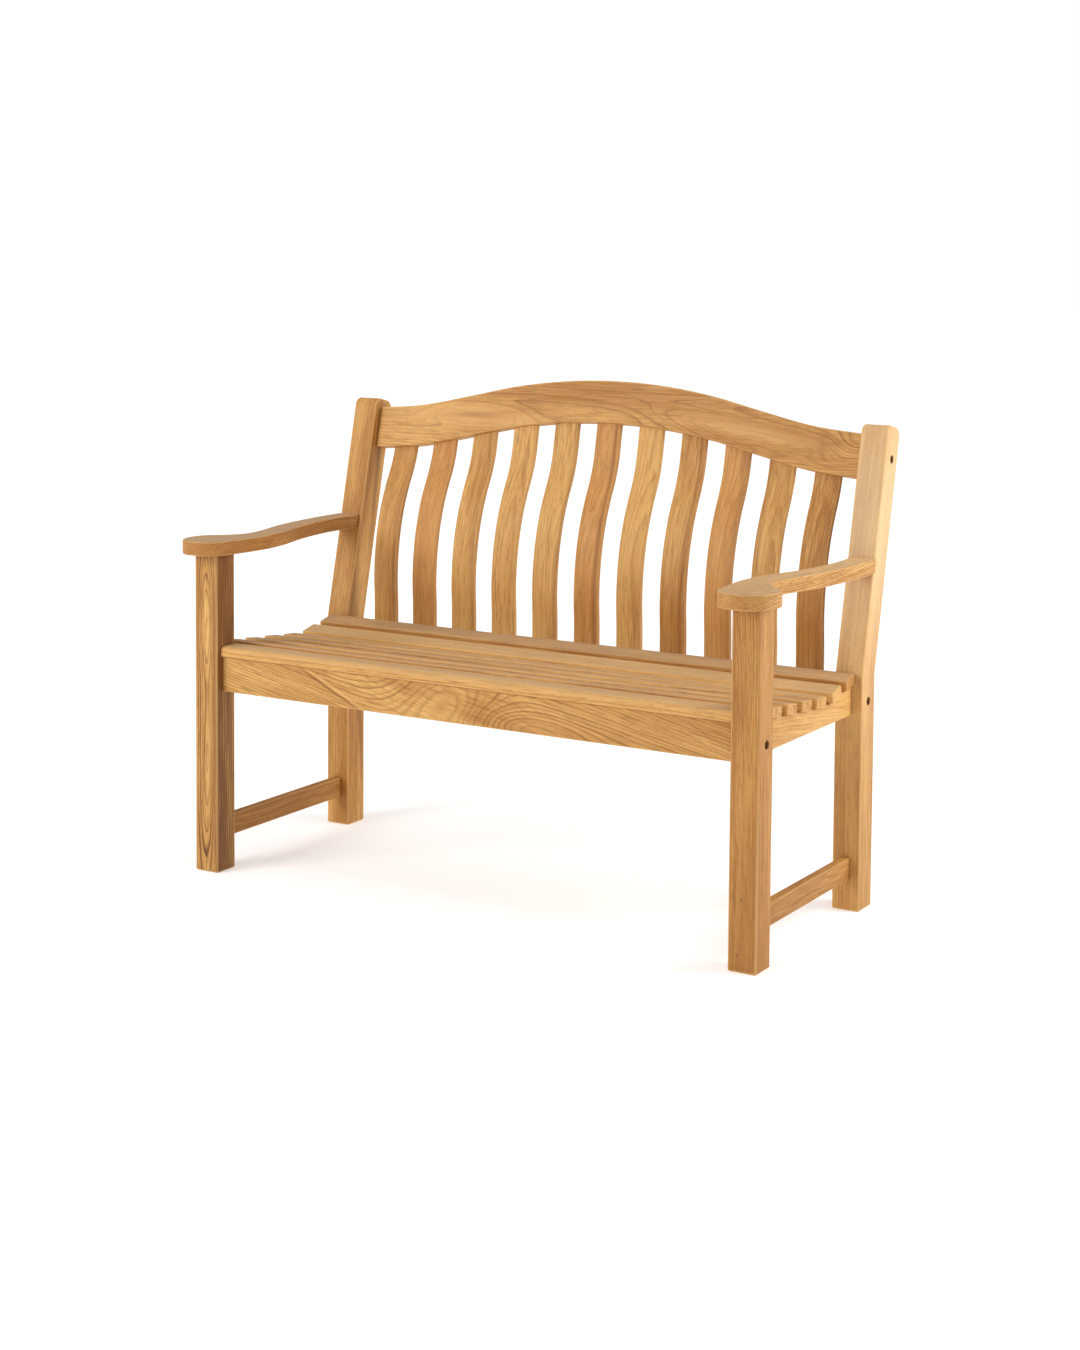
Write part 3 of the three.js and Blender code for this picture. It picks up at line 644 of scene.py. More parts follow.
railWood = woodMaterial("rail_wood", {
    "wander": 0.008,
    "ringStrength": 1.0,
    "ringSpacing": 0.0050,
    "eyes": [(-0.03, 0.006, 0.11, 0.06, 0.0, 0.05), (0.14, -0.03, 0.12, 0.03, 0.0, -0.02)],
    "blots": [(-0.296, 0.0, 0.085, 0.0022, -0.475, 0.95, veinBrown),
              (-0.290, 0.004, 0.085, 0.0030, -0.475, 0.5, paleFigure),
              (0.42, 0.022, 0.028, 0.0016, -0.31, 0.7, darkFigure),
              # painted shade: a broad darker patch over the right part of the rail, where the light from
              # the front left falls weaker
              (0.36, -0.01, 0.26, 0.07, 0.0, 0.22, darkFigure)],
})
metal = metalMaterial("fastener_steel", metalLook)
print("materials made")


# bolt holes
boltHole = {
    "wide": 0.015,
    "deep": 0.010,
    "shaft": 0.0086,
    "through": 0.060,              # past the inner face of a leg or post
    "flare": 0.0009,
    "shadeReach": 0.00795,          # walls within this of the hole's middle get painted shade
}


def boltCutter(where):
    # for the right side: a wide well with a softened mouth, and a narrow hole through the middle
    y, z = boltY[where], boltZ[where]
    mouth = outerX - boltHole["flare"]
    floor = outerX - boltHole["deep"]
    cutter = addRod("boltCutter", ((mouth + floor) / 2, y, z), boltHole["wide"], mouth - floor,
                    (0, pi / 2, 0), facets=40)
    pickFaces(cutter, lambda middle, normal: normal.x > squarely)
    flareOut = 1 + 4 * boltHole["flare"] / boltHole["wide"]
    drawOut((2 * boltHole["flare"], 0, 0), (1, flareOut, flareOut), (outerX, y, z))
    pickFaces(cutter, lambda middle, normal: normal.x < -squarely)
    bpy.ops.mesh.inset(thickness=(boltHole["wide"] - boltHole["shaft"]) / 2)
    drawOut((-boltHole["through"], 0, 0))
    bpy.ops.object.mode_set(mode="OBJECT")
    return cutter


boltY = {
    "front": (railLow.y + railHigh.y) / 2,
    "rear": nodeMiddle("bolt_rear_right").y,
    "crest": nodeMiddle("bolt_crest_right").y,
}
boltZ = {where: nodeMiddle(f"bolt_{where}_right").z for where in boltSpots}


# front legs
legLook = {
    "round": 0.004,
    "rightBoard": {"along": "z", "across": "x", "turn": 78, "pith": (0.03, 0.06), "seed": 2,
                   "tone": 0.25, "warm": 0.2, "figure": 0.9},
    # the left leg's stripe lies on its inner face: partly a brown stripe in the wood, partly painted
    # shade on that face, which the light from the right misses
    "leftBoard": {"along": "z", "across": "x", "turn": 0, "pith": (0.004, 0.052), "seed": 3,
                  "tone": 0.05, "figure": 1.7, "stripe": (0.031, 0.009, 0.75)},
}


def addLegs():
    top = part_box("armrest_right")[0].z - seam
    right = addBlock("frontLegRight", (innerX, legLow.y, 0), (outerX, legHigh.y, top))
    softenEdges(right, legLook["round"], steps=5)
    cutWith(right, boltCutter("front"))
    left = mirroredCopy(right, "frontLegLeft")
    markWood(right, legLook["rightBoard"])
    markWood(left, legLook["leftBoard"])
    for leg in (right, left):
        shadeWellWalls(leg, ["front"])
    finishPiece(right, "front_leg_right", pinholedWood)
    finishPiece(left, "front_leg_left", legWood)


addLegs()
print("front legs made")


# back posts
postLook = {
    "round": 0.004,
    "topRound": 0.017,
    "depth": 0.059,
    "kneeReach": 0.014,            # the knee bends over this far, each way
    "rightBoard": {"along": "z", "across": "x", "turn": 70, "pith": (0.02, 0.09), "seed": 4,
                   "tone": -0.15, "figure": 0.6},
    "leftBoard": {"along": "z", "across": "x", "turn": 60, "pith": (0.03, 0.06), "seed": 5,
                  "tone": 0.12, "figure": 0.8},
}


def postSweep(height):
    # how far back the post's front face is at a height, above the knee
    return max(height - back["knee"], 0) * tan(back["lean"])


def addPosts():
    lean = back["lean"]
    depth = postLook["depth"]
    reach = postLook["kneeReach"]
    lostToRounding = postLook["topRound"] * (cos(lean) + sin(lean) - 1)
    topRise = (postTop - back["knee"] + lostToRounding) / cos(lean)
    foot = Vector((legMiddleX, postFrontY + depth / 2, 0))
    knee = Vector((legMiddleX, postFrontY + depth / 2, back["knee"] - depth / 2 * tan(lean / 2)))
    upward = Vector((0, sin(lean), cos(lean)))
    right = addSection("backPostRight", foot, outerX - innerX, depth, (0, 0, 0))
    drawOut(knee - foot - Vector((0, 0, reach)))
    drawOut((0, 0, reach), (1, 1 / cos(lean / 2), 1), knee)
    bpy.ops.transform.rotate(value=lean / 2, orient_axis="X", center_override=knee)
    bend = knee + upward * reach
    drawOut(upward * reach, (1, cos(lean / 2), cos(lean / 2)), bend)
    bpy.ops.transform.rotate(value=lean / 2, orient_axis="X", center_override=bend)
    topMiddle = Vector((legMiddleX, *leaned(topRise, depth / 2)))
    drawOut(topMiddle - bend)
    closeUp(right)
    pickEdges(right, lambda middle, way: abs(way.x) > squarely and middle.z > topMiddle.z - depth / 2)
    roundPicked(postLook["topRound"], steps=7)
    softenEdges(right, postLook["round"], steps=5)
    for where in ("rear", "crest"):
        cutWith(right, boltCutter(where))
    left = mirroredCopy(right, "backPostLeft")
    markWood(right, postLook["rightBoard"], postSweep)
    markWood(left, postLook["leftBoard"], postSweep)
    for post in (right, left):
        shadeWellWalls(post, ["rear", "crest"])
    finishPiece(right, "back_post_right", postWood)
    finishPiece(left, "back_post_left", frameWood)


addPosts()
print("back posts made")


# armrests
armLook = {
    "thick": 0.027,
    "round": 0.0045,
    # plan of the right arm: how far back from the legs' front faces, and how far out
    "inner": ((0.008, 0.520), (0.060, 0.513), (0.120, 0.5105), (0.190, 0.521), (0.262, 0.541),
              (0.360, 0.557), (0.440, 0.558), (0.500, 0.551)),
    "outer": ((0.008, 0.6230), (0.022, 0.6238), (0.040, 0.6198), (0.056, 0.6105), (0.074, 0.590),
              (0.102, 0.570), (0.135, 0.565), (0.180, 0.572), (0.250, 0.590), (0.330, 0.600),
              (0.420, 0.605), (0.500, 0.603)),
    "steps": (0.490, 0.470, 0.445, 0.415, 0.385, 0.355, 0.325, 0.300, 0.275, 0.250, 0.225, 0.200,
              0.180, 0.162, 0.146, 0.132, 0.119, 0.107, 0.096, 0.087, 0.080, 0.074, 0.068, 0.062,
              0.057, 0.052, 0.048, 0.044, 0.039, 0.033, 0.026, 0.018, 0.008),
    # the paddle's rounded front is part of an oval, turned through so much of a quarter
    "paddleMiddle": 0.571,
    "paddleFrom": 0.008,
    "paddleHalfWidth": 0.051,
    "paddleReach": 0.050,
    "paddleSteps": 9,
    "paddleEnd": radians(78),
    "rightBoard": {"along": "y", "across": "x", "turn": 35, "pith": (0.03, 0.05), "seed": 6,
                   "tone": -0.15, "warm": 0.05, "slope": (0.05, 0.0), "figure": 1.2},
    "leftBoard": {"along": "y", "across": "x", "turn": 20, "pith": (-0.02, 0.05), "seed": 7,
                  "tone": 0.6, "warm": 0.15, "slope": (-0.05, 0.0), "figure": 1.2},
}


def addArms():
    thick = armLook["thick"]
    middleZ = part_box("armrest_right")[1].z - thick / 2
    stations = [(y, alongCurve(armLook["inner"], y), alongCurve(armLook["outer"], y))
                for y in armLook["steps"]]
    for i in range(1, armLook["paddleSteps"] + 1):
        angle = armLook["paddleEnd"] * i / armLook["paddleSteps"]
        y = armLook["paddleFrom"] - armLook["paddleReach"] * sin(angle)
        half = armLook["paddleHalfWidth"] * cos(angle)
        stations.append((y, armLook["paddleMiddle"] - half, armLook["paddleMiddle"] + half))
    y, inner, outer = stations[0]
    before = Vector(((inner + outer) / 2, benchFront + y, middleZ))
    right = addSection("armrestRight", before, outer - inner, thick, (pi / 2, 0, 0))
    widthBefore = outer - inner
    for y, inner, outer in stations[1:]:
        here = Vector(((inner + outer) / 2, benchFront + y, middleZ))
        drawOut(here - before, ((outer - inner) / widthBefore, 1, 1), here)
        before, widthBefore = here, outer - inner
    closeUp(right)
    # the rear end is cut to the post's leaning face
    bpy.ops.object.mode_set(mode="EDIT")
    bpy.ops.mesh.select_all(action="SELECT")
    faceY, faceZ = leaned(riseAt(middleZ, 0), -seam)
    bpy.ops.mesh.bisect(plane_co=(0, faceY, faceZ), use_fill=True, clear_outer=True,
                        plane_no=(0, cos(back["lean"]), -sin(back["lean"])))
    bpy.ops.object.mode_set(mode="OBJECT")
    softenEdges(right, armLook["round"], steps=5)
    left = mirroredCopy(right, "armrestLeft")
    markWood(right, armLook["rightBoard"])
    markWood(left, armLook["leftBoard"])
    finishPiece(right, "armrest_right", armWood)
    finishPiece(left, "armrest_left", armWood)


addArms()
print("armrests made")


# holes from behind for the barrel nuts, and from below for the screws
nutLook = {
    "wide": 0.012,
    "long": 0.018,
    "round": 0.0006,
    "slot": 0.0016,
    "slotDeep": 0.002,
    "pastMiddle": 0.011,           # how far its hole goes beyond the middle of the rail
}
screwLook = {
    "head": 0.008,
    "headThick": 0.003,
    "rim": 0.6,                    # share of the head's thickness that goes straight up
    "crown": 0.4,                  # and that draws in
    "crownWidth": 0.66,            # the crown's top, as a share of the head
    "shank": 0.004,
    "point": 0.4,                  # the point, as a share of the shank
    "well": 0.009,
    "cross": 0.0012,
    "crossReach": 0.0024,          # half the length of each cut of the cross
}


def cutNutHoles(rail, where, halfThick, lean=0):
    backward = Vector((0, cos(lean), -sin(lean)))
    reach = halfThick + nutLook["pastMiddle"] + spare
    for side in ends:
        mouth = nodeMiddle(f"barrel_nut_{where}_{side}") + backward * (halfThick + spare)
        cutWith(rail, addRod("nutCutter", mouth - backward * reach / 2, nutLook["wide"] + 2 * seam,
                             reach, (pi / 2 - lean, 0, 0)))


def cutScrewWells(board, screws, bottom):
    for screw in screws:
        low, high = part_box(screw)
        top = low.z + screwLook["headThick"] + seam
        middle = Vector(((low.x + high.x) / 2, (low.y + high.y) / 2, (top + bottom - spare) / 2))
        cutWith(board, addRod("wellCutter", middle, screwLook["well"], top - bottom + spare))


# front and rear rail
railLook = {
    "round": 0.0025,
    "frontBoard": {"pith": (-0.01, 0.06), "seed": 8, "tone": -0.05, "slope": (0.22, 0.0),
                   "figure": 1.2},
    "rearBoard": {"pith": (0.02, 0.05), "seed": 9, "tone": 0.2},
}


def addFrontRail():
    rail = addBlock("frontRail", (-railEnd, railLow.y, railLow.z), (railEnd, railHigh.y, railHigh.z))
    softenEdges(rail, railLook["round"])
    cutNutHoles(rail, "front", (railHigh.y - railLow.y) / 2)
    cutScrewWells(rail, ("seat_screw_1_left", "seat_screw_1_right"), railLow.z)
    markWood(rail, railLook["frontBoard"])
    finishPiece(rail, "front_rail", railWood)


def addRearRail():
    rail = addBlock("rearRail", (-railEnd, rearLow.y, rearLow.z), (railEnd, rearHigh.y, rearHigh.z))
    softenEdges(rail, railLook["round"])
    cutNutHoles(rail, "rear", (rearHigh.y - rearLow.y) / 2)
    markWood(rail, railLook["rearBoard"])
    finishPiece(rail, "rear_rail", frameWood)


addFrontRail()
addRearRail()
print("front and rear rails made")


# crest rail
crestLook = {
    # height of the front top edge, from the middle of the bench out to a post
    "arch": ((-0.110, 0.9434), (0, 0.9482), (0.110, 0.9434), (0.220, 0.9286), (0.330, 0.9045),
             (0.440, 0.882), (0.5457, 0.872)),
    "drop": 0.083,                 # from its top edge straight down to its bottom edge
    "steps": 56,
    "round": 0.0035,
    "board": {"pith": (-0.015, 0.055), "seed": 10, "tone": 0.0, "warm": 0.1, "figure": 1.2},
}


def crestTop(x):
    return alongCurve(crestLook["arch"], abs(x))


def addCrest():
    lean = back["lean"]
    depth = back["crestBack"] + back["crestThick"] / 2
    tall = crestLook["drop"] / cos(lean)

    def middleAt(x):
        rise = riseAt(crestTop(x), back["crestBack"]) - tall / 2
        return Vector((x, *leaned(rise, depth)))

    acrossAndUp = Matrix(((0, cos(lean), -sin(lean)), (0, sin(lean), cos(lean)), (1, 0, 0)))
    before = middleAt(-railEnd)
    rail = addSection("crestRail", before, back["crestThick"], tall,
                      acrossAndUp.transposed().to_euler())
    for i in range(1, crestLook["steps"] + 1):
        here = middleAt(-railEnd + 2 * railEnd * i / crestLook["steps"])
        drawOut(here - before)
        before = here
    closeUp(rail)
    softenEdges(rail, crestLook["round"])
    cutNutHoles(rail, "crest", back["crestThick"] / 2, lean)
    markWood(rail, crestLook["board"], postSweep)
    finishPiece(rail, "crest_rail", crestWood)


addCrest()
print("crest rail made")


# side rails and centre bearer: level below, dished above to carry the slats
bearerLook = {
    "round": 0.0025,
    "thick": 0.027,
    "slatThick": 0.0204,
    "slatWidth": 0.041,
    "reach": 0.0245,               # the seat cut for a slat, each way from its middle
    "slopes": (-0.125, -0.125, -0.105, -0.08, 0.245, 0.24),
    "belowRail": 0.001,            # how far below the front rail's top they start
    "rightBoard": {"along": "y", "across": "z", "turn": 10, "pith": (-0.03, 0.045), "seed": 11,
                   "tone": -0.35, "figure": 0.4, "slope": (0.12, 0)},
    "leftBoard": {"along": "y", "across": "z", "turn": 15, "pith": (0.02, 0.05), "seed": 12},
    "centreBoard": {"along": "y", "across": "z", "seed": 13, "tone": 0.2},
}


def slatPlaces():
    # middle of each seat slat behind the front one, and how it slopes
    for i, slope in enumerate(bearerLook["slopes"]):
        middle = nodeMiddle(f"seat_slat_{i + 2}")
        yield middle.y, middle.z, atan(slope)


def dishedTop():
    points = []
    drop = bearerLook["slatThick"] / 2 + seam
    for y, z, angle in slatPlaces():
        for step in (-bearerLook["reach"], bearerLook["reach"]):
            points.append((y + drop * sin(angle) + step * cos(angle),
                           z - drop * cos(angle) + step * sin(angle)))
    return points


def addBearer(name, x, front, rear):
    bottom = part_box("side_rail_right")[0].z
    dished = dishedTop()[:-1]
    lastY, lastTop = dished[-1]
    rearTop = lastTop + (rear - lastY) * bearerLook["slopes"][-1]
    tops = [(front, railHigh.z - bearerLook["belowRail"])] + dished + [(rear, rearTop)]
    y, top = tops[0]
    tallBefore = top - bottom
    before = Vector((x, y, bottom + tallBefore / 2))
    board = addSection(name, before, bearerLook["thick"], tallBefore, (-pi / 2, 0, 0))
    for y, top in tops[1:]:
        tall = top - bottom
        here = Vector((x, y, bottom + tall / 2))
        drawOut(here - before, (1, 1, tall / tallBefore), here)
        before, tallBefore = here, tall
    closeUp(board)
    softenEdges(board, bearerLook["round"], steps=3)
    return board


def addSideRails():
    low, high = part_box("side_rail_right")
    front = legHigh.y + seam
    rear = postFrontY - seam
    right = addBearer("sideRailRight", (low.x + high.x) / 2, front, rear)
    cutScrewWells(right, [f"seat_screw_{i}_right" for i in range(2, 8)], low.z)
    left = mirroredCopy(right, "sideRailLeft")
    markWood(right, bearerLook["rightBoard"])
    markWood(left, bearerLook["leftBoard"])
    finishPiece(right, "side_rail_right", frameWood)
    finishPiece(left, "side_rail_left", frameWood)
    bearer = addBearer("centreBearer", 0, railHigh.y + seam, rearLow.y - seam)
    markWood(bearer, bearerLook["centreBoard"])
    finishPiece(bearer, "centre_bearer", frameWood)


stretcherLook = {
    "round": 0.0025,
    "rightBoard": {"along": "y", "across": "z", "turn": 70, "seed": 14, "tone": 0.15, "figure": 0.7},
    "leftBoard": {"along": "y", "across": "z", "turn": 60, "seed": 15, "tone": 0.2, "figure": 0.7},
}


def addStretchers():
    low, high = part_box("stretcher_right")
    right = addBlock("stretcherRight", (low.x, legHigh.y + seam, low.z),
                     (high.x, postFrontY - seam, high.z))
    softenEdges(right, stretcherLook["round"])
    left = mirroredCopy(right, "stretcherLeft")
    markWood(right, stretcherLook["rightBoard"])
    markWood(left, stretcherLook["leftBoard"])
    finishPiece(right, "stretcher_right", darkWood)
    finishPiece(left, "stretcher_left", darkWood)


addSideRails()
addStretchers()
print("side rails, bearer and stretchers made")


# back slats
backSlatLook = {
    "width": 0.054,
    "thick": 0.0124,
    "round": 0.003,
    "intoCrest": 0.008,            # how far the slat's top goes up into the crest rail
    "steps": 30,
    "grainFollows": 0.88,          # share of the sweep that the grain follows
    # side view of the front face: height, and how far behind the legs' front faces
    "sweep": ((0.4229, 0.472), (0.475, 0.4716), (0.525, 0.4694), (0.575, 0.4722), (0.625, 0.4804),
              (0.675, 0.4949), (0.715, 0.5123), (0.745, 0.5283), (0.775, 0.541), (0.805, 0.549),
              (0.840, 0.5558), (0.875, 0.5626)),
    "firstSeed": 20,
    # each board's own wood: tone, warmth, turn in the log, heart of the log, ring strength, stripe
    "boards": (
        (0.20, 0.20, 65, (0.030, 0.05), 0.8, (0.024, 0.006, 0.35)),
        (0.20, 0.50, 40, (0.020, 0.06), 0.7, None),
        (-0.20, 0.05, 70, (0.030, 0.05), 0.8, (0.020, 0.006, 0.35)),
        (-0.75, 0.12, 15, (0.006, 0.04), 1.0, None),
        (-0.25, 0.00, 70, (0.040, 0.05), 0.8, (0.024, 0.005, 0.4)),
        (0.15, 0.50, 30, (0.020, 0.05), 0.9, (0.019, 0.005, 0.7)),
        (-0.35, 0.08, 65, (0.050, 0.05), 0.7, None),
        (0.22, 0.05, 85, (0.030, 0.04), 0.9, (0.018, 0.004, 0.6)),
        (0.15, 0.50, 50, (0.030, 0.06), 0.6, (0.022, 0.009, 0.45)),
        (-0.22, 0.00, 20, (0.010, 0.05), 0.9, (-0.022, 0.006, 0.4)),
        (0.38, 0.05, 35, (0.020, 0.04), 1.2, (0.024, 0.008, 0.35)),
    ),
}


def slatFront(height):
    return benchFront + alongCurve(backSlatLook["sweep"], height)


def crestUnderside(x):
    return crestTop(x) - crestLook["drop"]


def addBackSlats():
    look = backSlatLook
    for i, (tone, warm, turn, pith, figure, stripe) in enumerate(look["boards"]):
        node = f"back_slat_{i + 1:02d}"
        low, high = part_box(node)
        x = (low.x + high.x) / 2
        foot = railHigh.z + seam
        head = crestUnderside(x) + look["intoCrest"]
        before = Vector((x, slatFront(foot) + look["thick"] / 2, foot))
        slat = addSection(f"backSlat{i + 1:02d}", before, look["width"], look["thick"], (0, 0, 0))
        for step in range(1, look["steps"] + 1):
            z = foot + (head - foot) * step / look["steps"]
            here = Vector((x, slatFront(z) + look["thick"] / 2, z))
            drawOut(here - before)
            before = here
        closeUp(slat)
        softenEdges(slat, look["round"])
        markWood(slat, {"along": "z", "across": "x", "turn": turn, "pith": pith,
                        "seed": look["firstSeed"] + i, "tone": tone, "warm": warm,
                        "figure": figure, "stripe": stripe},
                 lambda z: look["grainFollows"] * alongCurve(look["sweep"], z))
        finishPiece(slat, node, slatWood)


addBackSlats()
print("back slats made")


# seat slats
seatLook = {
    "halfLength": 0.5875,
    "round": 0.0032,
    # the front slat: upper front edge, lower front edge, and the rest as a share of round
    "noseRound": 0.010,
    "lipRound": 0.004,
    "noseEdges": 0.7,
    "pith": (0.02, 0.05),
    "firstSeed": 40,
    # tone, warmth, turn in the log, ring strength, stripe, from the front slat back
    "boards": (
        (-0.20, 0.20, 60, 0.9, (0.008, 0.004, 0.45)),
        (0.00, 0.15, 70, 1.0, (-0.006, 0.004, 0.50)),
        (-0.20, 0.30, 30, 0.9, (0.010, 0.005, 0.40)),
        (0.15, 0.00, 80, 1.0, (0.002, 0.003, 0.50)),
        (-0.25, 0.25, 20, 0.9, (-0.010, 0.004, 0.40)),
        (-0.35, 0.05, 55, 0.7, None),
        (0.65, 0.00, 35, 1.2, (0.012, 0.006, 0.30)),
    ),
}


def addSeatSlats():
    look = seatLook
    nose = addBlock("seatSlat1", (-railEnd, noseLow.y, noseLow.z), (railEnd, noseHigh.y, noseHigh.z))
    pickEdges(nose, lambda middle, way: abs(way.x) > squarely and middle.y < noseLow.y + seam
              and middle.z > noseHigh.z - seam)
    roundPicked(look["noseRound"], steps=7)
    pickEdges(nose, lambda middle, way: abs(way.x) > squarely and middle.y < noseLow.y + seam
              and middle.z < noseLow.z + seam)
    roundPicked(look["lipRound"], steps=4)
    softenEdges(nose, look["round"] * look["noseEdges"], steps=3)
    slats = [nose]
    for i, (y, z, angle) in enumerate(slatPlaces()):
        half = Vector((look["halfLength"], bearerLook["slatWidth"] / 2, bearerLook["slatThick"] / 2))
        middle = Vector((0, y, z))
        slat = addBlock(f"seatSlat{i + 2}", middle - half, middle + half, (angle, 0, 0))
        softenEdges(slat, look["round"])
        slats.append(slat)
    for i, (slat, (tone, warm, turn, figure, stripe)) in enumerate(zip(slats, look["boards"])):
        markWood(slat, {"along": "x", "across": "y", "turn": turn, "pith": look["pith"],
                        "seed": look["firstSeed"] + i, "tone": tone, "warm": warm,
                        "figure": figure, "stripe": stripe})
        finishPiece(slat, f"seat_slat_{i + 1}", seatWood)


addSeatSlats()
print("seat slats made")


# frame bolts, barrel nuts and screws
boltLook = {
    "shaft": 0.008,
    "length": 0.082,
    "head": 0.0134,
    "headThick": 0.0035,
    "rim": 0.0007,
    "socket": 0.0058,
    "socketDeep": 0.0022,
}


def addBolts():
    headBase = outerX - boltHole["deep"] + seam
    y, z = boltY["front"], boltZ["front"]
    bolt = addRod("boltFrontRight", (headBase - boltLook["length"] / 2, y, z), boltLook["shaft"],
                  boltLook["length"], (0, pi / 2, 0), facets=36)
    pickFaces(bolt, lambda middle, normal: normal.x > squarely)
    wider = boltLook["head"] / boltLook["shaft"]
    drawOut((0, 0, 0), (1, wider, wider), (headBase, y, z))
    drawOut((boltLook["headThick"], 0, 0))
    bpy.ops.object.mode_set(mode="OBJECT")
    headTop = headBase + boltLook["headThick"]
    softenEdges(bolt, boltLook["rim"], steps=3)
    cutWith(bolt, addRod("socketCutter", (headTop, y, z), boltLook["socket"],
                         2 * boltLook["socketDeep"], (0, pi / 2, 0), facets=6))
    for where in boltSpots:
        move = (0, boltY[where] - y, boltZ[where] - z)
        right = copyOf(bolt, f"bolt{where.capitalize()}Right", move)
        left = mirroredCopy(right, f"bolt{where.capitalize()}Left")
        finishPiece(right, f"bolt_{where}_right", metal)
        finishPiece(left, f"bolt_{where}_left", metal)
    bpy.data.objects.remove(bolt)


def addBarrelNut(where, side):
    lean = back["lean"] if where == "crest" else 0
    middle = nodeMiddle(f"barrel_nut_{where}_{side}")
    nut = addRod(f"barrelNut{where.capitalize()}{side.capitalize()}", middle, nutLook["wide"],
                 nutLook["long"], (pi / 2 - lean, 0, 0))
    softenEdges(nut, nutLook["round"], steps=2)
    # the slot across its rear end, for a screwdriver
    backward = Vector((0, cos(lean), -sin(lean)))
    slotMiddle = middle + backward * nutLook["long"] / 2
    half = Vector((nutLook["wide"], nutLook["slotDeep"], nutLook["slot"] / 2))
    cutWith(nut, addBlock("slotCutter", slotMiddle - half, slotMiddle + half, (-lean, 0, 0)))
    finishPiece(nut, f"barrel_nut_{where}_{side}", metal)


def addScrews():
    low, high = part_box("seat_screw_2_right")
    middle = (low + high) / 2
    headThick = screwLook["headThick"]
    headTop = low.z + headThick
    screw = addRod("seatScrew", (middle.x, middle.y, (high.z + headTop) / 2), screwLook["shank"],
                   high.z - headTop, facets=24)
    pickFaces(screw, lambda place, normal: normal.z < -squarely)
    wider = screwLook["head"] / screwLook["shank"]
    narrower = screwLook["crownWidth"]
    drawOut((0, 0, 0), (wider, wider, 1), (middle.x, middle.y, headTop))
    drawOut((0, 0, -headThick * screwLook["rim"]))
    drawOut((0, 0, -headThick * screwLook["crown"]), (narrower, narrower, 1),
            (middle.x, middle.y, low.z))
    # the point of the screw
    pickFaces(screw, lambda place, normal: normal.z > squarely and place.z > high.z - seam)
    bpy.ops.transform.resize(value=(screwLook["point"], screwLook["point"], 1),
                             center_override=(middle.x, middle.y, high.z))
    bpy.ops.object.mode_set(mode="OBJECT")
    # its cross recess, as deep as the crown
    for turn in (0, pi / 2):
        half = Vector((screwLook["crossReach"], screwLook["cross"] / 2, headThick * screwLook["crown"]))
        place = Vector((middle.x, middle.y, low.z))
        cutWith(screw, addBlock("crossCutter", place - half, place + half, (0, 0, turn)))
    for number in range(1, len(seatLook["boards"]) + 1):
        for side in ends:
            node = f"seat_screw_{number}_{side}"
            copied = copyOf(screw, f"seatScrew{number}{side.capitalize()}", nodeMiddle(node) - middle)
            finishPiece(copied, node, metal)
    bpy.data.objects.remove(screw)


addBolts()
for where in boltSpots:
    for side in ends:
        addBarrelNut(where, side)
addScrews()
print("bolts, nuts and screws made")


# floor, light and camera
studio = {
    "floorSize": 60,
    "floorColour": (0.86, 0.86, 0.86, 1),
    "floorRough": (0.8, 0.9),
    "floorGrain": 90.0,
    "floorGlow": (0.36, 0.72),     # a lit floor keeps the shadows faint; near the bench, and far off
    "glowFrom": 1.0,
    "glowTo": 4.5,
    "backdrop": 1.0,               # how bright the backdrop shows
    "skyLight": 0.42,              # and how much light it gives
    # place, aimed at, size, power
    "lamps": (
        ((2.3, 0.9, 1.5), (0.6, 0.1, 0.55), 1.3, 40),
        ((-2.2, -3.6, 2.2), (0.0, 0.0, 0.5), 2.0, 100),
        ((0.0, -0.4, 4.0), (0.0, 0.0, 0.0), 2.6, 44),
    ),
}


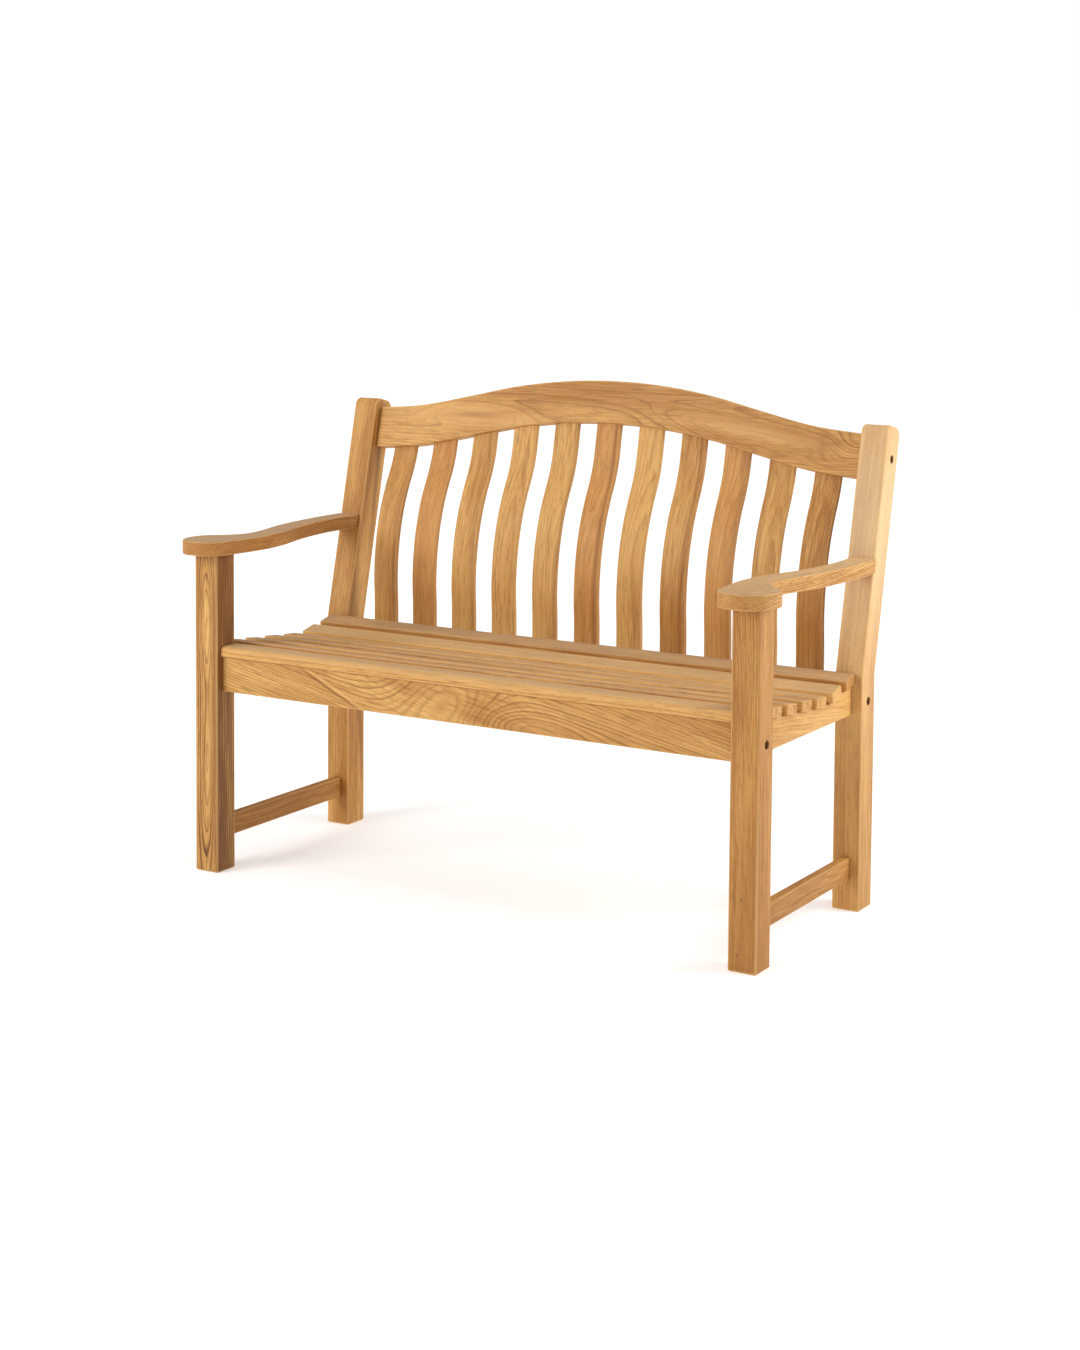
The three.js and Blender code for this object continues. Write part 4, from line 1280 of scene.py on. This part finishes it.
def addStudio():
    deselectAll()
    bpy.ops.mesh.primitive_plane_add(size=studio["floorSize"], location=(0, 0, 0))
    floor = named("floor")
    material, tree = newTree("floor_paint")
    place = put(tree, "ShaderNodeTexCoord").outputs["Object"]
    tooth = noiseOf(tree, place, 2.0, 0.5, studio["floorGrain"]).outputs["Fac"]
    away = vectorMaths(tree, "LENGTH", place)
    glow = spread(tree, away, studio["glowFrom"], studio["glowTo"], *studio["floorGlow"])
    surface = put(tree, "ShaderNodeBsdfPrincipled",
                  {"Base Color": studio["floorColour"], "Emission Color": (1, 1, 1, 1),
                   "Emission Strength": glow,
                   "Roughness": spread(tree, tooth, 0.3, 0.7, *studio["floorRough"])})
    put(tree, "ShaderNodeOutputMaterial", {"Surface": surface.outputs[0]})
    floor.data.materials.append(material)
    sky = bpy.data.worlds.new("sky")
    bpy.context.scene.world = sky
    sky.use_nodes = True
    sky.node_tree.nodes.clear()
    # the camera sees the backdrop brighter than it lights the bench
    seen = put(sky.node_tree, "ShaderNodeLightPath").outputs["Is Camera Ray"]
    strength = spread(sky.node_tree, seen, 0.0, 1.0, studio["skyLight"], studio["backdrop"], "LINEAR")
    light = put(sky.node_tree, "ShaderNodeBackground", {"Color": (1, 1, 1, 1), "Strength": strength})
    put(sky.node_tree, "ShaderNodeOutputWorld", {"Surface": light.outputs[0]})
    for place, aim, size, power in studio["lamps"]:
        towards = (Vector(aim) - Vector(place)).to_track_quat("-Z", "Y").to_euler()
        bpy.ops.object.light_add(type="AREA", location=place, rotation=towards)
        lamp = bpy.context.object.data
        lamp.size = size
        lamp.energy = power


cameraLook = {
    "place": (2.24215, -3.79068, 1.25498),
    "yaw": 31.999,
    "pitch": -4.262,
    "roll": 0.317,
    "lens": 62.44,
    "film": 36,
    "farthest": 200,
    "shift": (0.0444, -0.2037),
}


def addCamera():
    bpy.ops.object.camera_add(location=cameraLook["place"])
    camera = bpy.context.object
    aim = Euler((radians(90 + cameraLook["pitch"]), 0, radians(cameraLook["yaw"]))).to_matrix()
    camera.rotation_euler = (aim @ Matrix.Rotation(radians(cameraLook["roll"]), 3, "Z")).to_euler()
    camera.data.lens = cameraLook["lens"]
    camera.data.sensor_width = cameraLook["film"]
    camera.data.shift_x, camera.data.shift_y = cameraLook["shift"]
    camera.data.clip_end = cameraLook["farthest"]
    bpy.context.scene.camera = camera


addStudio()
addCamera()
bpy.context.scene.view_settings.view_transform = "Standard"
print("floor, light and camera set")
